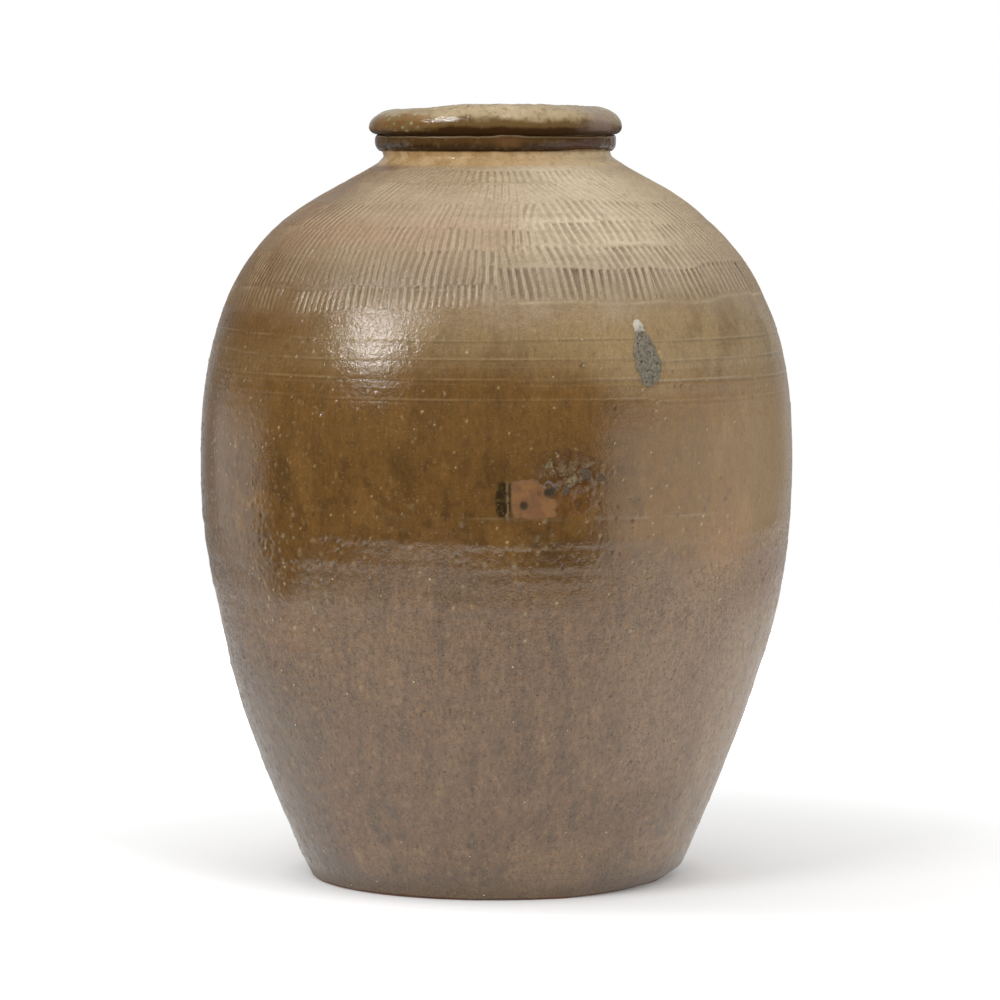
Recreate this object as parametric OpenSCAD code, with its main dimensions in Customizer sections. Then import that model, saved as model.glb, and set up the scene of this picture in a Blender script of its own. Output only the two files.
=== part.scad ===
// Martaban jar: a large hand-built stoneware storage jar with a brown ash glaze.
// The origin is the centre of the foot on the floor, +Z runs up the jar's axis, and -Y is the front.
// The clay body is built in lifts on a beaten slab. Each lift stands on the bevelled edge of the
// one below it, and a coil is pressed over each seam on the inside. A glaze skin covers the outside.

/* [Body outline] */
// Radius of the flat foot
foot_r = 152; // [138:1:165]
// Radius at the widest part of the belly
belly_r = 246; // [230:1:262]
// Height of the widest part of the belly
belly_z = 352; // [340:1:365]
// Height from the floor to the bottom of the neck
body_h = 598; // [585:1:620]
// Lean of the wall out from upright where it leaves the foot, in degrees
foot_lean = 26; // [18:1:34]
// How far the lean at the foot carries on up the wall
foot_pull = 150; // [90:1:180]
// How far the upright belly carries on down the wall
belly_pull_down = 110; // [70:1:150]
// How far the upright belly carries on up the wall
belly_pull_up = 204; // [185:1:215]
// Slope of the shoulder from level where it meets the neck, in degrees
shoulder_slope = 44; // [36:1:50]
// How far the slope at the neck carries on down the shoulder
shoulder_pull = 45; // [35:1:60]

/* [Walls and glaze] */
// Thickness of the wall of the body, glaze included
wall_t = 12; // [9:0.5:15]
// Thickness of the base slab
base_t = 18; // [14:1:22]
// Height of the slab's edge that shows outside, below the lower wall
slab_edge_h = 8; // [5:0.5:10]
// Thickness of the glaze
glaze_t = 0.8; // [0.5:0.1:1.2]
// Height of the glaze's lower edge above the slab's edge
glaze_edge_lift = 3; // [1:0.5:12]

/* [Seams] */
// Height of the seam between the lower wall and the belly wall
lower_seam_z = 305; // [285:1:315]
// Height of the seam between the belly wall and the shoulder
upper_seam_z = 470; // [464:1:485]
// Rise of each bevelled seam from the inside of the wall to the outside
seam_rise = 14; // [6:1:20]
// Height of the coil pressed over each seam on the inside
coil_h = 42; // [24:1:50]
// Thickness of that coil at its middle
coil_t = 4; // [2:0.5:6]
// Size of the coil pressed into the corner between the slab and the wall
corner_coil = 20; // [10:1:26]

/* [Neck and rim] */
// Radius of the straight throat through the neck and the rim
throat_r = 77; // [72:0.5:82]
// Thickness of the neck's wall
neck_wall = 17.5; // [15.5:0.5:19]
// Height of the neck from the shoulder to the underside of the rim
neck_h = 16.5; // [12:0.5:24]
// How far the neck reaches down behind the edge of the shoulder
neck_drop = 13; // [11:0.5:16]
// Height of the rim
rim_h = 25.5; // [24:0.5:32]
// How far the rim stands out from the neck
rim_out = 10.5; // [9.5:0.5:14]
// Radius of the rim's round top
rim_round = 21; // [17:0.5:21]
// Radius of the rim's lower outer edge
rim_edge = 3.5; // [2:0.5:4]
// Radius of the rim's inner lip
lip_round = 5; // [3:0.5:7]
// Rise of the bevelled seam under the rim, from the outside to the throat
rim_seam_rise = 4; // [2:0.5:6]
// How far the cordon stands out from the neck
cordon_out = 4; // [3:0.5:6]
// Height of the cordon's lower edge above the shoulder
cordon_lift = 3.5; // [3:0.5:4.5]
// Radius of the cordon's outer edges
cordon_edge = 2.4; // [1.5:0.1:2.6]
// Height of the groove between the cordon and the rim
groove_h = 2.2; // [2:0.1:3]

/* [Incised rings] */
// Number of rings cut into the clay under the shoulder
ring_n = 4; // [1:1:5]
// Distance from the upper seam down to the top ring
ring_drop = 14; // [13:1:20]
// Step down from one ring to the next
ring_step = 15.5; // [6:0.5:18]
// Radius of the round-nosed tool that cut the rings
ring_tool = 1.6; // [1.2:0.1:2.5]
// Depth of the rings
ring_depth = 0.9; // [0.4:0.1:1.1]

/* [Kiln marks] */
// Angle from the front to the bare scar, towards +X, in degrees
scar_angle = 7; // [0:1:20]
// Height of the middle of the bare scar
scar_z = 333; // [325:1:345]
// Radius of the bare scar
scar_r = 17; // [10:1:20]
// Radius of the burst pit in the scar
pit_r = 4.5; // [3:0.5:6]
// Radius of the largest lump of crust beside the scar
crust_r = 5; // [3:0.5:7]
// How far the largest lump of crust stands out from the glaze
crust_out = 2.5; // [1.5:0.5:4]
// Angle from the front to the slag drip, towards +X, in degrees
drip_angle = 30; // [25:1:60]
// Height of the middle of the slag drip
drip_z = 445; // [425:1:460]
// Length of the slag drip
drip_l = 55; // [36:1:65]
// Width of the slag drip
drip_w = 24; // [16:1:28]
// How far the slag drip stands out from the glaze
drip_out = 6; // [3:0.5:7]

/* [Hidden] */

// Sides of round shapes, steps along each curve of the outline, and steps along an arc
round_fn = 180;
curve_n = 18;
arc_n = 10;

clay = "#8f5a37";
bare_clay = "#b5713f";
brown_glaze = "#74522a";
dark_slag = "#4b443a";
pale_crust = "#a9a59a";

neck_r = throat_r + neck_wall;
rim_r = neck_r + rim_out;
rim_z = body_h + neck_h;
jar_h = rim_z + rim_h;
// Reach of the cutting areas, past the whole jar
reach = jar_h + belly_r;
// The round top and the lip share the width of the rim
top_round = min(rim_round, rim_r - throat_r - lip_round);

// The outline is two cubic curves that meet upright at the widest part of the belly
lower_curve = [
  [foot_r, 0],
  [foot_r + foot_pull * sin(foot_lean), foot_pull * cos(foot_lean)],
  [belly_r, belly_z - belly_pull_down],
  [belly_r, belly_z]
];
upper_curve = [
  [belly_r, belly_z],
  [belly_r, belly_z + belly_pull_up],
  [neck_r + shoulder_pull * cos(shoulder_slope), body_h - shoulder_pull * sin(shoulder_slope)],
  [neck_r, body_h]
];

// Lumps of crust: place across and up from the middle of the scar, and size as a share of crust_r
crust_lumps = [
  [13, 26, 0.9],
  [27, 9, 1],
  [32, 17, 0.9],
  [37, 6, 0.8],
  [42, 18, 0.9],
  [54, 16, 0.5]
];

// Point, direction and inward normal at t on a cubic curve of [radius, height] points
function on_curve(c, t) =
  let (u = 1 - t) u * u * u * c[0] + 3 * u * u * t * c[1] + 3 * u * t * t * c[2] + t * t * t * c[3];
function along(c, t) =
  let (u = 1 - t) u * u * (c[1] - c[0]) + 2 * u * t * (c[2] - c[1]) + t * t * (c[3] - c[2]);
function inward(c, t) = let (d = along(c, t)) [-d[1], d[0]] / norm(d);
function at_depth(c, t, depth) = on_curve(c, t) + depth * inward(c, t);

// The place t on a rising curve where its height is z, by halving
function find_t(c, z, low = 0, high = 1, n = 30) =
  let (mid = (low + high) / 2)
  n == 0 ? mid
  : on_curve(c, mid)[1] < z ? find_t(c, z, mid, high, n - 1)
  : find_t(c, z, low, mid, n - 1);

// The curve that holds height z, and the point and inward normal of the glazed surface there
function curve_for(z) = z < belly_z ? lower_curve : upper_curve;
function wall_point(z, depth = 0) = let (c = curve_for(z)) at_depth(c, find_t(c, z), depth);
function wall_inward(z) = let (c = curve_for(z)) inward(c, find_t(c, z));
// Lean of the wall in from upright at height z, in degrees
function wall_lean(z) = let (n = wall_inward(z)) atan2(-n[1], -n[0]);

// The outline from foot to neck, a given depth below the glazed surface
function outline(depth) = concat(
  [for (i = [0:curve_n]) at_depth(lower_curve, i / curve_n, depth)],
  [for (i = [1:curve_n]) at_depth(upper_curve, i / curve_n, depth)]
);
function arc(centre, r, from, to) = [
  for (i = [0:arc_n]) let (a = from + (to - from) * i / arc_n) centre + r * [cos(a), sin(a)]
];

// A closed area between two radii and two heights
module band(r0, r1, z0, z1) {
  translate([r0, z0]) square([r1 - r0, z1 - z0]);
}

// Radius of the ball of which a cap shows, a given half width across and a given height out
function cap_radius(half_w, out) = (half_w * half_w + out * out) / (2 * out);

// Everything to the left of the line through p that runs along the unit direction d
module left_of(p, d) {
  side = [-d[1], d[0]];
  polygon([p - reach * d, p + reach * d, p + reach * (d + side), p + reach * (side - d)]);
}

// Half section of the rim from the axis out, a given depth below its glazed surface
module rim_area(depth) {
  polygon(concat(
    [[0, rim_z + depth]],
    arc([rim_r - rim_edge, rim_z + rim_edge], rim_edge - depth, -90, 0),
    arc([rim_r - top_round, jar_h - top_round], top_round - depth, 0, 90),
    arc([throat_r + lip_round, jar_h - lip_round], lip_round - depth, 90, 180),
    [[0, jar_h - lip_round]]
  ));
}

// Half section of the cordon, with round outer edges
module cordon_area(depth) {
  r = neck_r + cordon_out - depth;
  z0 = body_h + cordon_lift + depth;
  z1 = rim_z - groove_h - depth;
  edge = cordon_edge - depth;
  band(0, r - edge, z0, z1);
  band(0, r, z0 + edge, z1 - edge);
  translate([r - edge, z0 + edge]) circle(r = edge, $fn = round_fn);
  translate([r - edge, z1 - edge]) circle(r = edge, $fn = round_fn);
}

// Round-bottomed cuts of the incised rings, moved in with the surface that they are cut into
module ring_cuts(depth) {
  for (i = [0:ring_n - 1]) {
    z = upper_seam_z - ring_drop - i * ring_step;
    translate(wall_point(z, depth + ring_depth - ring_tool)) circle(r = ring_tool, $fn = round_fn);
  }
}

// Half section of the whole jar as if it were solid, a given depth below the glazed surface
module solid_area(depth) {
  difference() {
    polygon(concat([[0, 0], [outline(depth)[0][0], 0]], outline(depth), [[0, body_h]]));
    ring_cuts(depth);
  }
  band(0, neck_r - depth, body_h - neck_drop / 2, rim_z + depth);
  cordon_area(depth);
  rim_area(depth);
}

// Half section of the cavity: the body's inside, and the straight throat through neck and rim
module cavity_area() {
  difference() {
    polygon(concat([[0, 0]], outline(wall_t), [[throat_r, body_h - neck_drop], [0, body_h - neck_drop]]));
    slab_zone();
  }
  throat_zone();
}

module throat_zone() {
  band(0, throat_r, body_h - 2 * neck_drop, jar_h + rim_h);
}

module clay_area() {
  difference() {
    solid_area(glaze_t);
    cavity_area();
  }
}

// The slab takes all below its flat top and the bevel on its edge
module slab_zone() {
  polygon([
    [0, -base_t],
    [reach, -base_t],
    [reach, slab_edge_h],
    [wall_point(slab_edge_h)[0], slab_edge_h],
    [wall_point(base_t)[0] - wall_t, base_t],
    [0, base_t]
  ]);
}

// Everything above a seam that rises through the wall from the inside to the outside
module above_seam(z) {
  middle = wall_point(z, wall_t / 2);
  bevel = [wall_t, seam_rise];
  polygon([
    [0, middle[1] - seam_rise],
    middle - bevel,
    middle + bevel,
    [reach, middle[1] + seam_rise],
    [reach, reach],
    [0, reach]
  ]);
}

// Everything on the neck's side of the shoulder's edge
module neck_zone() {
  left_of(on_curve(upper_curve, 1), -inward(upper_curve, 1));
}

module cordon_zone() {
  band(neck_r - glaze_t, reach, body_h, rim_z);
}

// Everything above the bevelled seam under the rim
module rim_zone() {
  seam_z = rim_z + glaze_t;
  polygon([
    [0, seam_z + rim_seam_rise],
    [throat_r, seam_z + rim_seam_rise],
    [neck_r - glaze_t, seam_z],
    [reach, seam_z],
    [reach, reach],
    [0, reach]
  ]);
}

// A lens of clay on the inner face of the wall, centred on a seam
module seam_coil_area(z) {
  c = curve_for(z);
  t0 = find_t(c, z - coil_h / 2);
  t1 = find_t(c, z + coil_h / 2);
  lens = [
    for (i = [0:arc_n])
      at_depth(c, t0 + (t1 - t0) * i / arc_n, wall_t + coil_t * sin(180 * i / arc_n))
  ];
  intersection() {
    polygon(concat([at_depth(c, t1, 0), at_depth(c, t0, 0)], lens));
    cavity_area();
  }
}

// A fillet of clay with a hollow face, in the corner between the slab and the wall
module corner_coil_area() {
  corner_r = wall_point(base_t)[0] - wall_t;
  difference() {
    intersection() {
      band(corner_r - corner_coil, corner_r + corner_coil, base_t, base_t + corner_coil);
      cavity_area();
    }
    translate([corner_r - corner_coil, base_t + corner_coil]) circle(r = corner_coil, $fn = round_fn);
    band(0, corner_r, base_t + corner_coil, body_h);
  }
}

module turned() {
  rotate_extrude($fn = round_fn) children();
}

// Stands a shape on the glazed surface: its +Z points out of the wall and its +Y up the wall
module on_wall(angle, z) {
  p = wall_point(z);
  rotate([0, 0, angle])
    translate([0, -p[0], p[1]])
      rotate([90 - wall_lean(z), 0, 0])
        children();
}

// The body of the glazed jar between two heights, which stuck-on lumps are cut to sit against
module glazed_body(z0, z1) {
  turned() intersection() {
    solid_area(0);
    band(foot_r, reach, z0, z1);
  }
}

module base_slab() {
  color(clay) turned() intersection() {
    solid_area(glaze_t);
    slab_zone();
  }
}

module corner_coil() {
  color(clay) turned() corner_coil_area();
}

module lower_wall() {
  color(clay) turned() difference() {
    clay_area();
    slab_zone();
    above_seam(lower_seam_z);
  }
}

module lower_seam_coil() {
  color(clay) turned() seam_coil_area(lower_seam_z);
}

module belly_wall() {
  color(bare_clay) difference() {
    turned() difference() {
      intersection() {
        clay_area();
        above_seam(lower_seam_z);
      }
      above_seam(upper_seam_z);
    }
    on_wall(scar_angle, scar_z)
      translate([-scar_r / 3, -scar_r / 3, 0]) sphere(r = pit_r, $fn = round_fn);
  }
}

module upper_seam_coil() {
  color(clay) turned() seam_coil_area(upper_seam_z);
}

module shoulder_dome() {
  color(clay) turned() difference() {
    intersection() {
      clay_area();
      above_seam(upper_seam_z);
    }
    neck_zone();
    cordon_zone();
  }
}

module neck_collar() {
  color(clay) turned() difference() {
    intersection() {
      clay_area();
      neck_zone();
    }
    cordon_zone();
    rim_zone();
  }
}

module neck_cordon() {
  color(clay) turned() intersection() {
    clay_area();
    cordon_zone();
  }
}

module rim_roll() {
  color(clay) turned() intersection() {
    clay_area();
    rim_zone();
  }
}

// A skin over the outside, with three overlapping round holes at the scar
module glaze_coat() {
  color(brown_glaze) difference() {
    turned() difference() {
      solid_area(0);
      solid_area(glaze_t);
      band(0, reach, -1, slab_edge_h + glaze_edge_lift);
      throat_zone();
    }
    on_wall(scar_angle, scar_z)
      for (a = [20, 140, 260])
        rotate([0, 0, a])
          translate([scar_r / 3, 0, 0])
            cylinder(r = scar_r * 2 / 3, h = 2 * wall_t, center = true, $fn = round_fn);
  }
}

// A drop shape lying up the wall and sunk into it, narrower at the top. The whole drop is longer
// than drip_l, because both its ends lie below the glaze.
module slag_drip() {
  r = cap_radius(drip_w / 2, drip_out);
  l = 1.25 * drip_l;
  drop = [[0, -l / 2], [1.7 * r, -l / 2], [0.95 * r, l / 2], [0, l / 2]];
  color(dark_slag) difference() {
    on_wall(drip_angle, drip_z)
      translate([0, 0, drip_out - r])
        rotate([-90, 0, 0])
          turned() polygon([for (i = [0:curve_n]) on_curve(drop, i / curve_n)]);
    glazed_body(drip_z - drip_l, drip_z + drip_l);
  }
}

module scar_crust() {
  r = cap_radius(crust_r, crust_out);
  color(pale_crust) difference() {
    on_wall(scar_angle, scar_z)
      for (lump = crust_lumps)
        translate([lump[0], lump[1], lump[2] * (crust_out - r)])
          sphere(r = lump[2] * r, $fn = round_fn);
    glazed_body(scar_z - 2 * scar_r, scar_z + 3 * scar_r);
  }
}

base_slab();
corner_coil();
lower_wall();
lower_seam_coil();
belly_wall();
upper_seam_coil();
shoulder_dome();
neck_collar();
neck_cordon();
rim_roll();
glaze_coat();
slag_drip();
scar_crust();
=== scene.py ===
"""Martaban jar: the looks of a large glazed stoneware jar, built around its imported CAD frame.

The glaze is a set of closed thin bands, each a grid of angle and distance along the jar's outline.
The clay lifts, coils, neck and rim under it are closed turned shells that the same warp carries, so
that glaze and clay stay nested. Lengths are in millimetres until a mesh is written in metres.
"""
import math

import bpy
import numpy as np
from bpy.props import FloatProperty, FloatVectorProperty, PointerProperty
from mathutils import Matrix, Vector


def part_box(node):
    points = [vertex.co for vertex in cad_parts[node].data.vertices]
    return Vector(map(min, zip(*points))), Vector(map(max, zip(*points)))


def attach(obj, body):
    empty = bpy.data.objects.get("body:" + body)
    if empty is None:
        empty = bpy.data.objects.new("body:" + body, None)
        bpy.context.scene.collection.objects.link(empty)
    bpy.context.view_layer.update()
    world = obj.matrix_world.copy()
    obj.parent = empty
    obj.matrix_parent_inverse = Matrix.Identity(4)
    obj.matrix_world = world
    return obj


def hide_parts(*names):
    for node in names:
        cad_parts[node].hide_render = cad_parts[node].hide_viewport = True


bl_info = {
    "name": "Martaban Jar",
    "version": (1, 0, 0),
    "blender": (4, 5, 0),
    "location": "3D View > Sidebar > Jar",
    "description": "Dresses the packed frame of a glazed stoneware storage jar",
    "category": "Add Mesh",
}

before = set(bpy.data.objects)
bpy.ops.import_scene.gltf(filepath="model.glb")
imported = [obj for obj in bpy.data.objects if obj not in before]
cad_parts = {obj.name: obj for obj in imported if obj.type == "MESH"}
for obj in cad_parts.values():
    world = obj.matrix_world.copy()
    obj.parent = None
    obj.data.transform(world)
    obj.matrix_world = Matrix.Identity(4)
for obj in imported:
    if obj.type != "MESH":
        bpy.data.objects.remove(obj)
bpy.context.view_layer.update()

MM = 0.001


def node_box(name):
    """Lowest and highest corner of a CAD node, in millimetres."""
    low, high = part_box(name)
    return [c / MM for c in low], [c / MM for c in high]


# Sizes read from the frame, in millimetres
GLAZE_LOW, GLAZE_HIGH = node_box("glaze_coat")
RIM_LOW, RIM_HIGH = node_box("rim_roll")
CORDON_LOW, CORDON_HIGH = node_box("neck_cordon")
GLAZE_T = 0.8
JAR_H = GLAZE_HIGH[2]
BELLY_R = GLAZE_HIGH[0]
RIM_R = RIM_HIGH[0] + GLAZE_T
CORDON_R = CORDON_HIGH[0] + GLAZE_T + 0.6

# The outline of the glazed surface: two cubic curves of [radius, height] that meet at the belly
FOOT_R = 152.0
BELLY_Z = 352.0
BODY_H = 598.0
NECK_R = 94.5
THROAT_R = 77.0
FOOT_LEAN = math.radians(26.0)
SHOULDER_SLOPE = math.radians(44.0)
LOWER_CURVE = np.array([
    [FOOT_R, 0.0],
    [FOOT_R + 150.0 * math.sin(FOOT_LEAN), 150.0 * math.cos(FOOT_LEAN)],
    [BELLY_R, BELLY_Z - 110.0],
    [BELLY_R, BELLY_Z],
])
UPPER_CURVE = np.array([
    [BELLY_R, BELLY_Z],
    [BELLY_R, BELLY_Z + 204.0],
    [NECK_R + 45.0 * math.cos(SHOULDER_SLOPE), BODY_H - 45.0 * math.sin(SHOULDER_SLOPE)],
    [NECK_R, BODY_H],
])
WALL = 12.0
SLAB_T = 18.0
SLAB_EDGE = 8.0
RIM_Z = BODY_H + 18.2
CORDON_Z0 = BODY_H + 5.0
CORDON_Z1 = RIM_Z - 0.9
LOWER_SEAM = 305.0
UPPER_SEAM = 470.0


# Noise and smooth steps


def noise(points, size, seed, stretch=(1.0, 1.0, 1.0)):
    """Smooth random field from -1 to 1: random numbers at the corners of cubes with sides of
    size mm, blended by a smooth step along each axis. stretch makes the cubes longer."""
    table = np.random.default_rng(seed).uniform(-1.0, 1.0, 4096).astype(np.float32)
    q = points.astype(np.float32) / (size * np.asarray(stretch, np.float32))
    cell = np.floor(q)
    f = q - cell
    f = f * f * f * (f * (6.0 * f - 15.0) + 10.0)
    cell = cell.astype(np.int32)
    keys = []
    for axis, prime in enumerate((73856093, 19349663, 83492791)):
        keys.append([(cell[..., axis] + corner) * np.int32(prime) for corner in (0, 1)])
    shares = [[1.0 - f[..., axis], f[..., axis]] for axis in range(3)]
    total = np.zeros(points.shape[:-1], np.float32)
    for i, j, k in np.ndindex(2, 2, 2):
        key = (keys[0][i] ^ keys[1][j] ^ keys[2][k]) & 4095
        total += shares[0][i] * shares[1][j] * shares[2][k] * table[key]
    return total


def layered(points, size, seed, layers=3, stretch=(1.0, 1.0, 1.0)):
    """Layers of noise, each half the size and 0.6 of the height of the one before it."""
    total = np.zeros(points.shape[:-1], np.float32)
    for k in range(layers):
        total += noise(points, size / 2 ** k, seed + 17 * k, stretch) * 0.6 ** k
    return total / 1.3


def step(x, low, high):
    """Smooth step of x from 0 at low to 1 at high."""
    t = np.clip((x - low) / (high - low), 0.0, 1.0)
    return t * t * (3.0 - 2.0 * t)


def bell(x, width):
    """Bell curve that is 1 at x = 0 and falls to 0.37 at x = width."""
    return np.exp(-((x / width) ** 2))


# The outline


def cubic(curve, count):
    """Points on a cubic curve of four [radius, height] points."""
    t = np.linspace(0.0, 1.0, count)[:, None]
    u = 1.0 - t
    return u ** 3 * curve[0] + 3 * u * u * t * curve[1] + 3 * u * t * t * curve[2] + t ** 3 * curve[3]


def arc(centre_r, centre_z, radius, start, end, count=40, tall=None):
    """Points on an arc, angles in degrees from +r towards +z, or on an ellipse that is tall mm
    from its middle to its top."""
    a = np.radians(np.linspace(start, end, count))
    tall = radius if tall is None else tall
    return np.stack([centre_r + radius * np.cos(a), centre_z + tall * np.sin(a)], axis=1)


def evenly(points, spacing):
    """A polyline cut again into equal steps of about spacing."""
    seg = np.linalg.norm(np.diff(points, axis=0), axis=1)
    points = points[np.concatenate([[True], seg > 1e-6])]
    along = np.concatenate([[0.0], np.cumsum(np.linalg.norm(np.diff(points, axis=0), axis=1))])
    count = max(2, int(round(along[-1] / spacing)) + 1)
    s = np.linspace(0.0, along[-1], count)
    return np.stack([np.interp(s, along, points[:, k]) for k in (0, 1)], axis=1)


def softened(points, spacing, blur):
    """A polyline whose corners are rounded by a bell-shaped average over blur mm."""
    p = evenly(points, spacing)
    reach = int(math.ceil(3 * blur / spacing))
    weights = bell(np.arange(-reach, reach + 1) * spacing, blur * 1.414)
    weights /= weights.sum()
    out = np.empty_like(p)
    for k in (0, 1):
        start = 2 * p[0, k] - p[1:reach + 1, k][::-1]
        end = 2 * p[-1, k] - p[-reach - 1:-1, k][::-1]
        out[:, k] = np.convolve(np.concatenate([start, p[:, k], end]), weights, mode="valid")
    return out


def glazed_outline():
    """Half section of the glazed surface, from the foot up the body, over the cordon and the
    rim, and down into the throat."""
    groove_r = CORDON_R - 2.6
    under = 6.6
    crown_r, crown_z = 22.8, JAR_H - RIM_Z - under
    pieces = [
        cubic(LOWER_CURVE, 400),
        cubic(UPPER_CURVE, 400)[1:],
        [[NECK_R, CORDON_Z0]],
        arc(CORDON_R - 5.5, CORDON_Z0 + 6.8, 5.5, -90, 0, tall=6.8),
        arc(CORDON_R - 2.4, CORDON_Z1 - 4.6, 2.4, 0, 90, tall=4.6),
        [[groove_r, CORDON_Z1], [groove_r, RIM_Z]],
        arc(RIM_R - under, RIM_Z + under, under, -90, 0),
        arc(RIM_R - crown_r, JAR_H - crown_z, crown_r, 0, 90, tall=crown_z),
        arc(THROAT_R + 5.0, JAR_H - 5.0, 5.0, 90, 180),
        [[THROAT_R, JAR_H - 30.0]],
    ]
    return softened(np.concatenate([np.asarray(p, float) for p in pieces]), 0.25, 0.7)


OUTLINE = glazed_outline()
ALONG = np.concatenate([[0.0], np.cumsum(np.linalg.norm(np.diff(OUTLINE, axis=0), axis=1))])
TANGENT = np.gradient(OUTLINE, axis=0)
TANGENT /= np.linalg.norm(TANGENT, axis=1)[:, None]
BODY_END = int(np.argmax(OUTLINE[:, 1] > BODY_H))


def along_at(z):
    """Distance along the outline from the foot to height z on the body."""
    return float(np.interp(z, OUTLINE[:BODY_END, 1], ALONG[:BODY_END]))


def on_outline(s):
    """Radius, height and outward normal of the outline at the distances s."""
    values = [np.interp(s, ALONG, line) for line in (*OUTLINE.T, *TANGENT.T)]
    return values[0], values[1], values[3], -values[2]


S_NECK = along_at(BODY_H - 0.5)
S_TOP = float(ALONG[int(np.argmax(OUTLINE[:, 1]))])
S_END = float(ALONG[-1])
S_GROOVE = float(ALONG[int(np.argmax(OUTLINE[:, 1] > (CORDON_Z1 + RIM_Z) / 2))])

# How far the centre of the jar's outline leans to +X at each height, as hand-built jars do
LEAN_Z = [0, 20, 90, 150, 175, 195, 225, 260, 300, 450, 480, 545, 560, 572, 592, 602, 640]
LEAN_X = [-2.2, -2.4, -2.4, -1.5, -0.9, 0.4, 1.1, 0.5, 0.1, 0, -0.8, -1.2, 1.0, 2.6, 2.4, -0.6, -1.6]


def warped(points):
    """Every point of the jar, glaze and clay alike, carried by one smooth warp: a lean of the
    centre line with height, and broad shallow dents in the wall."""
    out = points.copy()
    r = np.hypot(points[..., 0], points[..., 1])
    keep = np.maximum(r, 1.0)
    dent = 1.1 * noise(points, 170.0, 5) + 0.5 * noise(points, 75.0, 6) - 0.5
    dent *= step(points[..., 2], -5.0, 60.0) * (1.0 - 0.55 * step(points[..., 2], 560.0, 600.0))
    share = 1.0 + dent * np.minimum(r / 60.0, 1.0) / keep
    out[..., 0] = points[..., 0] * share + np.interp(points[..., 2], LEAN_Z, LEAN_X)
    out[..., 1] = points[..., 1] * share
    # The rim's top stands a little higher in front and behind than at the sides, and sinks at the
    # left; the edge of the foot is worn round at the right
    front = (points[..., 1] / keep) ** 2 - 0.35
    side = points[..., 0] / keep
    tilt = 2.0 * front - 2.4 * step(-side, 0.25, 0.75)
    out[..., 2] = points[..., 2] + tilt * step(points[..., 2], JAR_H - 26.0, JAR_H)
    worn = 9.0 * step(side, 0.35, 0.95) * step(points[..., 2], 12.0, 0.0) * np.minimum(r / 150.0, 1.0) ** 8
    out[..., 0] -= worn * side
    out[..., 1] -= worn * points[..., 1] / keep
    return out


def place(theta, r, z):
    """Points at an angle from the front (-Y) towards +X, a radius and a height."""
    theta, r, z = np.broadcast_arrays(theta, r, z)
    return np.stack([r * np.sin(theta), -r * np.cos(theta), z], axis=-1)


# Tool marks and kiln marks on the glazed surface

# Tiers of paddle strokes: heights of the top and the bottom, the sector in degrees, the depth, the
# pitch, how far the strokes lean to the left, the share of trough, and how far the lips stand out
TIERS = [
    (588.0, 577.0, -180.0, -20.0, 0.42, 5.6, -0.35, 0.16, 0.2),
    (588.0, 577.5, -20.0, 180.0, 0.32, 6.0, 0.08, 0.18, 0.3),
    (577.0, 561.0, -180.0, 9.0, 0.30, 5.8, -0.05, 0.18, 0.2),
    (578.5, 561.0, 9.0, 180.0, 0.40, 6.4, 0.42, 0.18, 0.2),
    (561.5, 541.0, -180.0, 12.0, 0.44, 6.4, -0.12, 0.24, 0.3),
    (563.0, 545.0, 12.0, 180.0, 0.54, 6.8, 0.34, 0.22, 0.4),
    (542.0, 522.5, -180.0, 10.0, 0.44, 6.0, -0.10, 0.22, 0.3),
    (546.0, 527.5, 10.0, 180.0, 0.60, 7.2, 0.16, 0.27, 0.7),
    (524.0, 494.5, -180.0, 2.0, 0.62, 6.2, -0.03, 0.23, 0.5),
    (528.5, 511.0, 2.0, 180.0, 0.60, 6.9, 0.17, 0.24, 0.6),
    (511.8, 486.0, -2.0, 180.0, 1.00, 7.1, 0.05, 0.28, 1.0),
    (496.0, 477.0, -180.0, 2.0, 0.68, 6.3, 0.0, 0.24, 0.2),
]
PADDLE_W = 66.0


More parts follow.
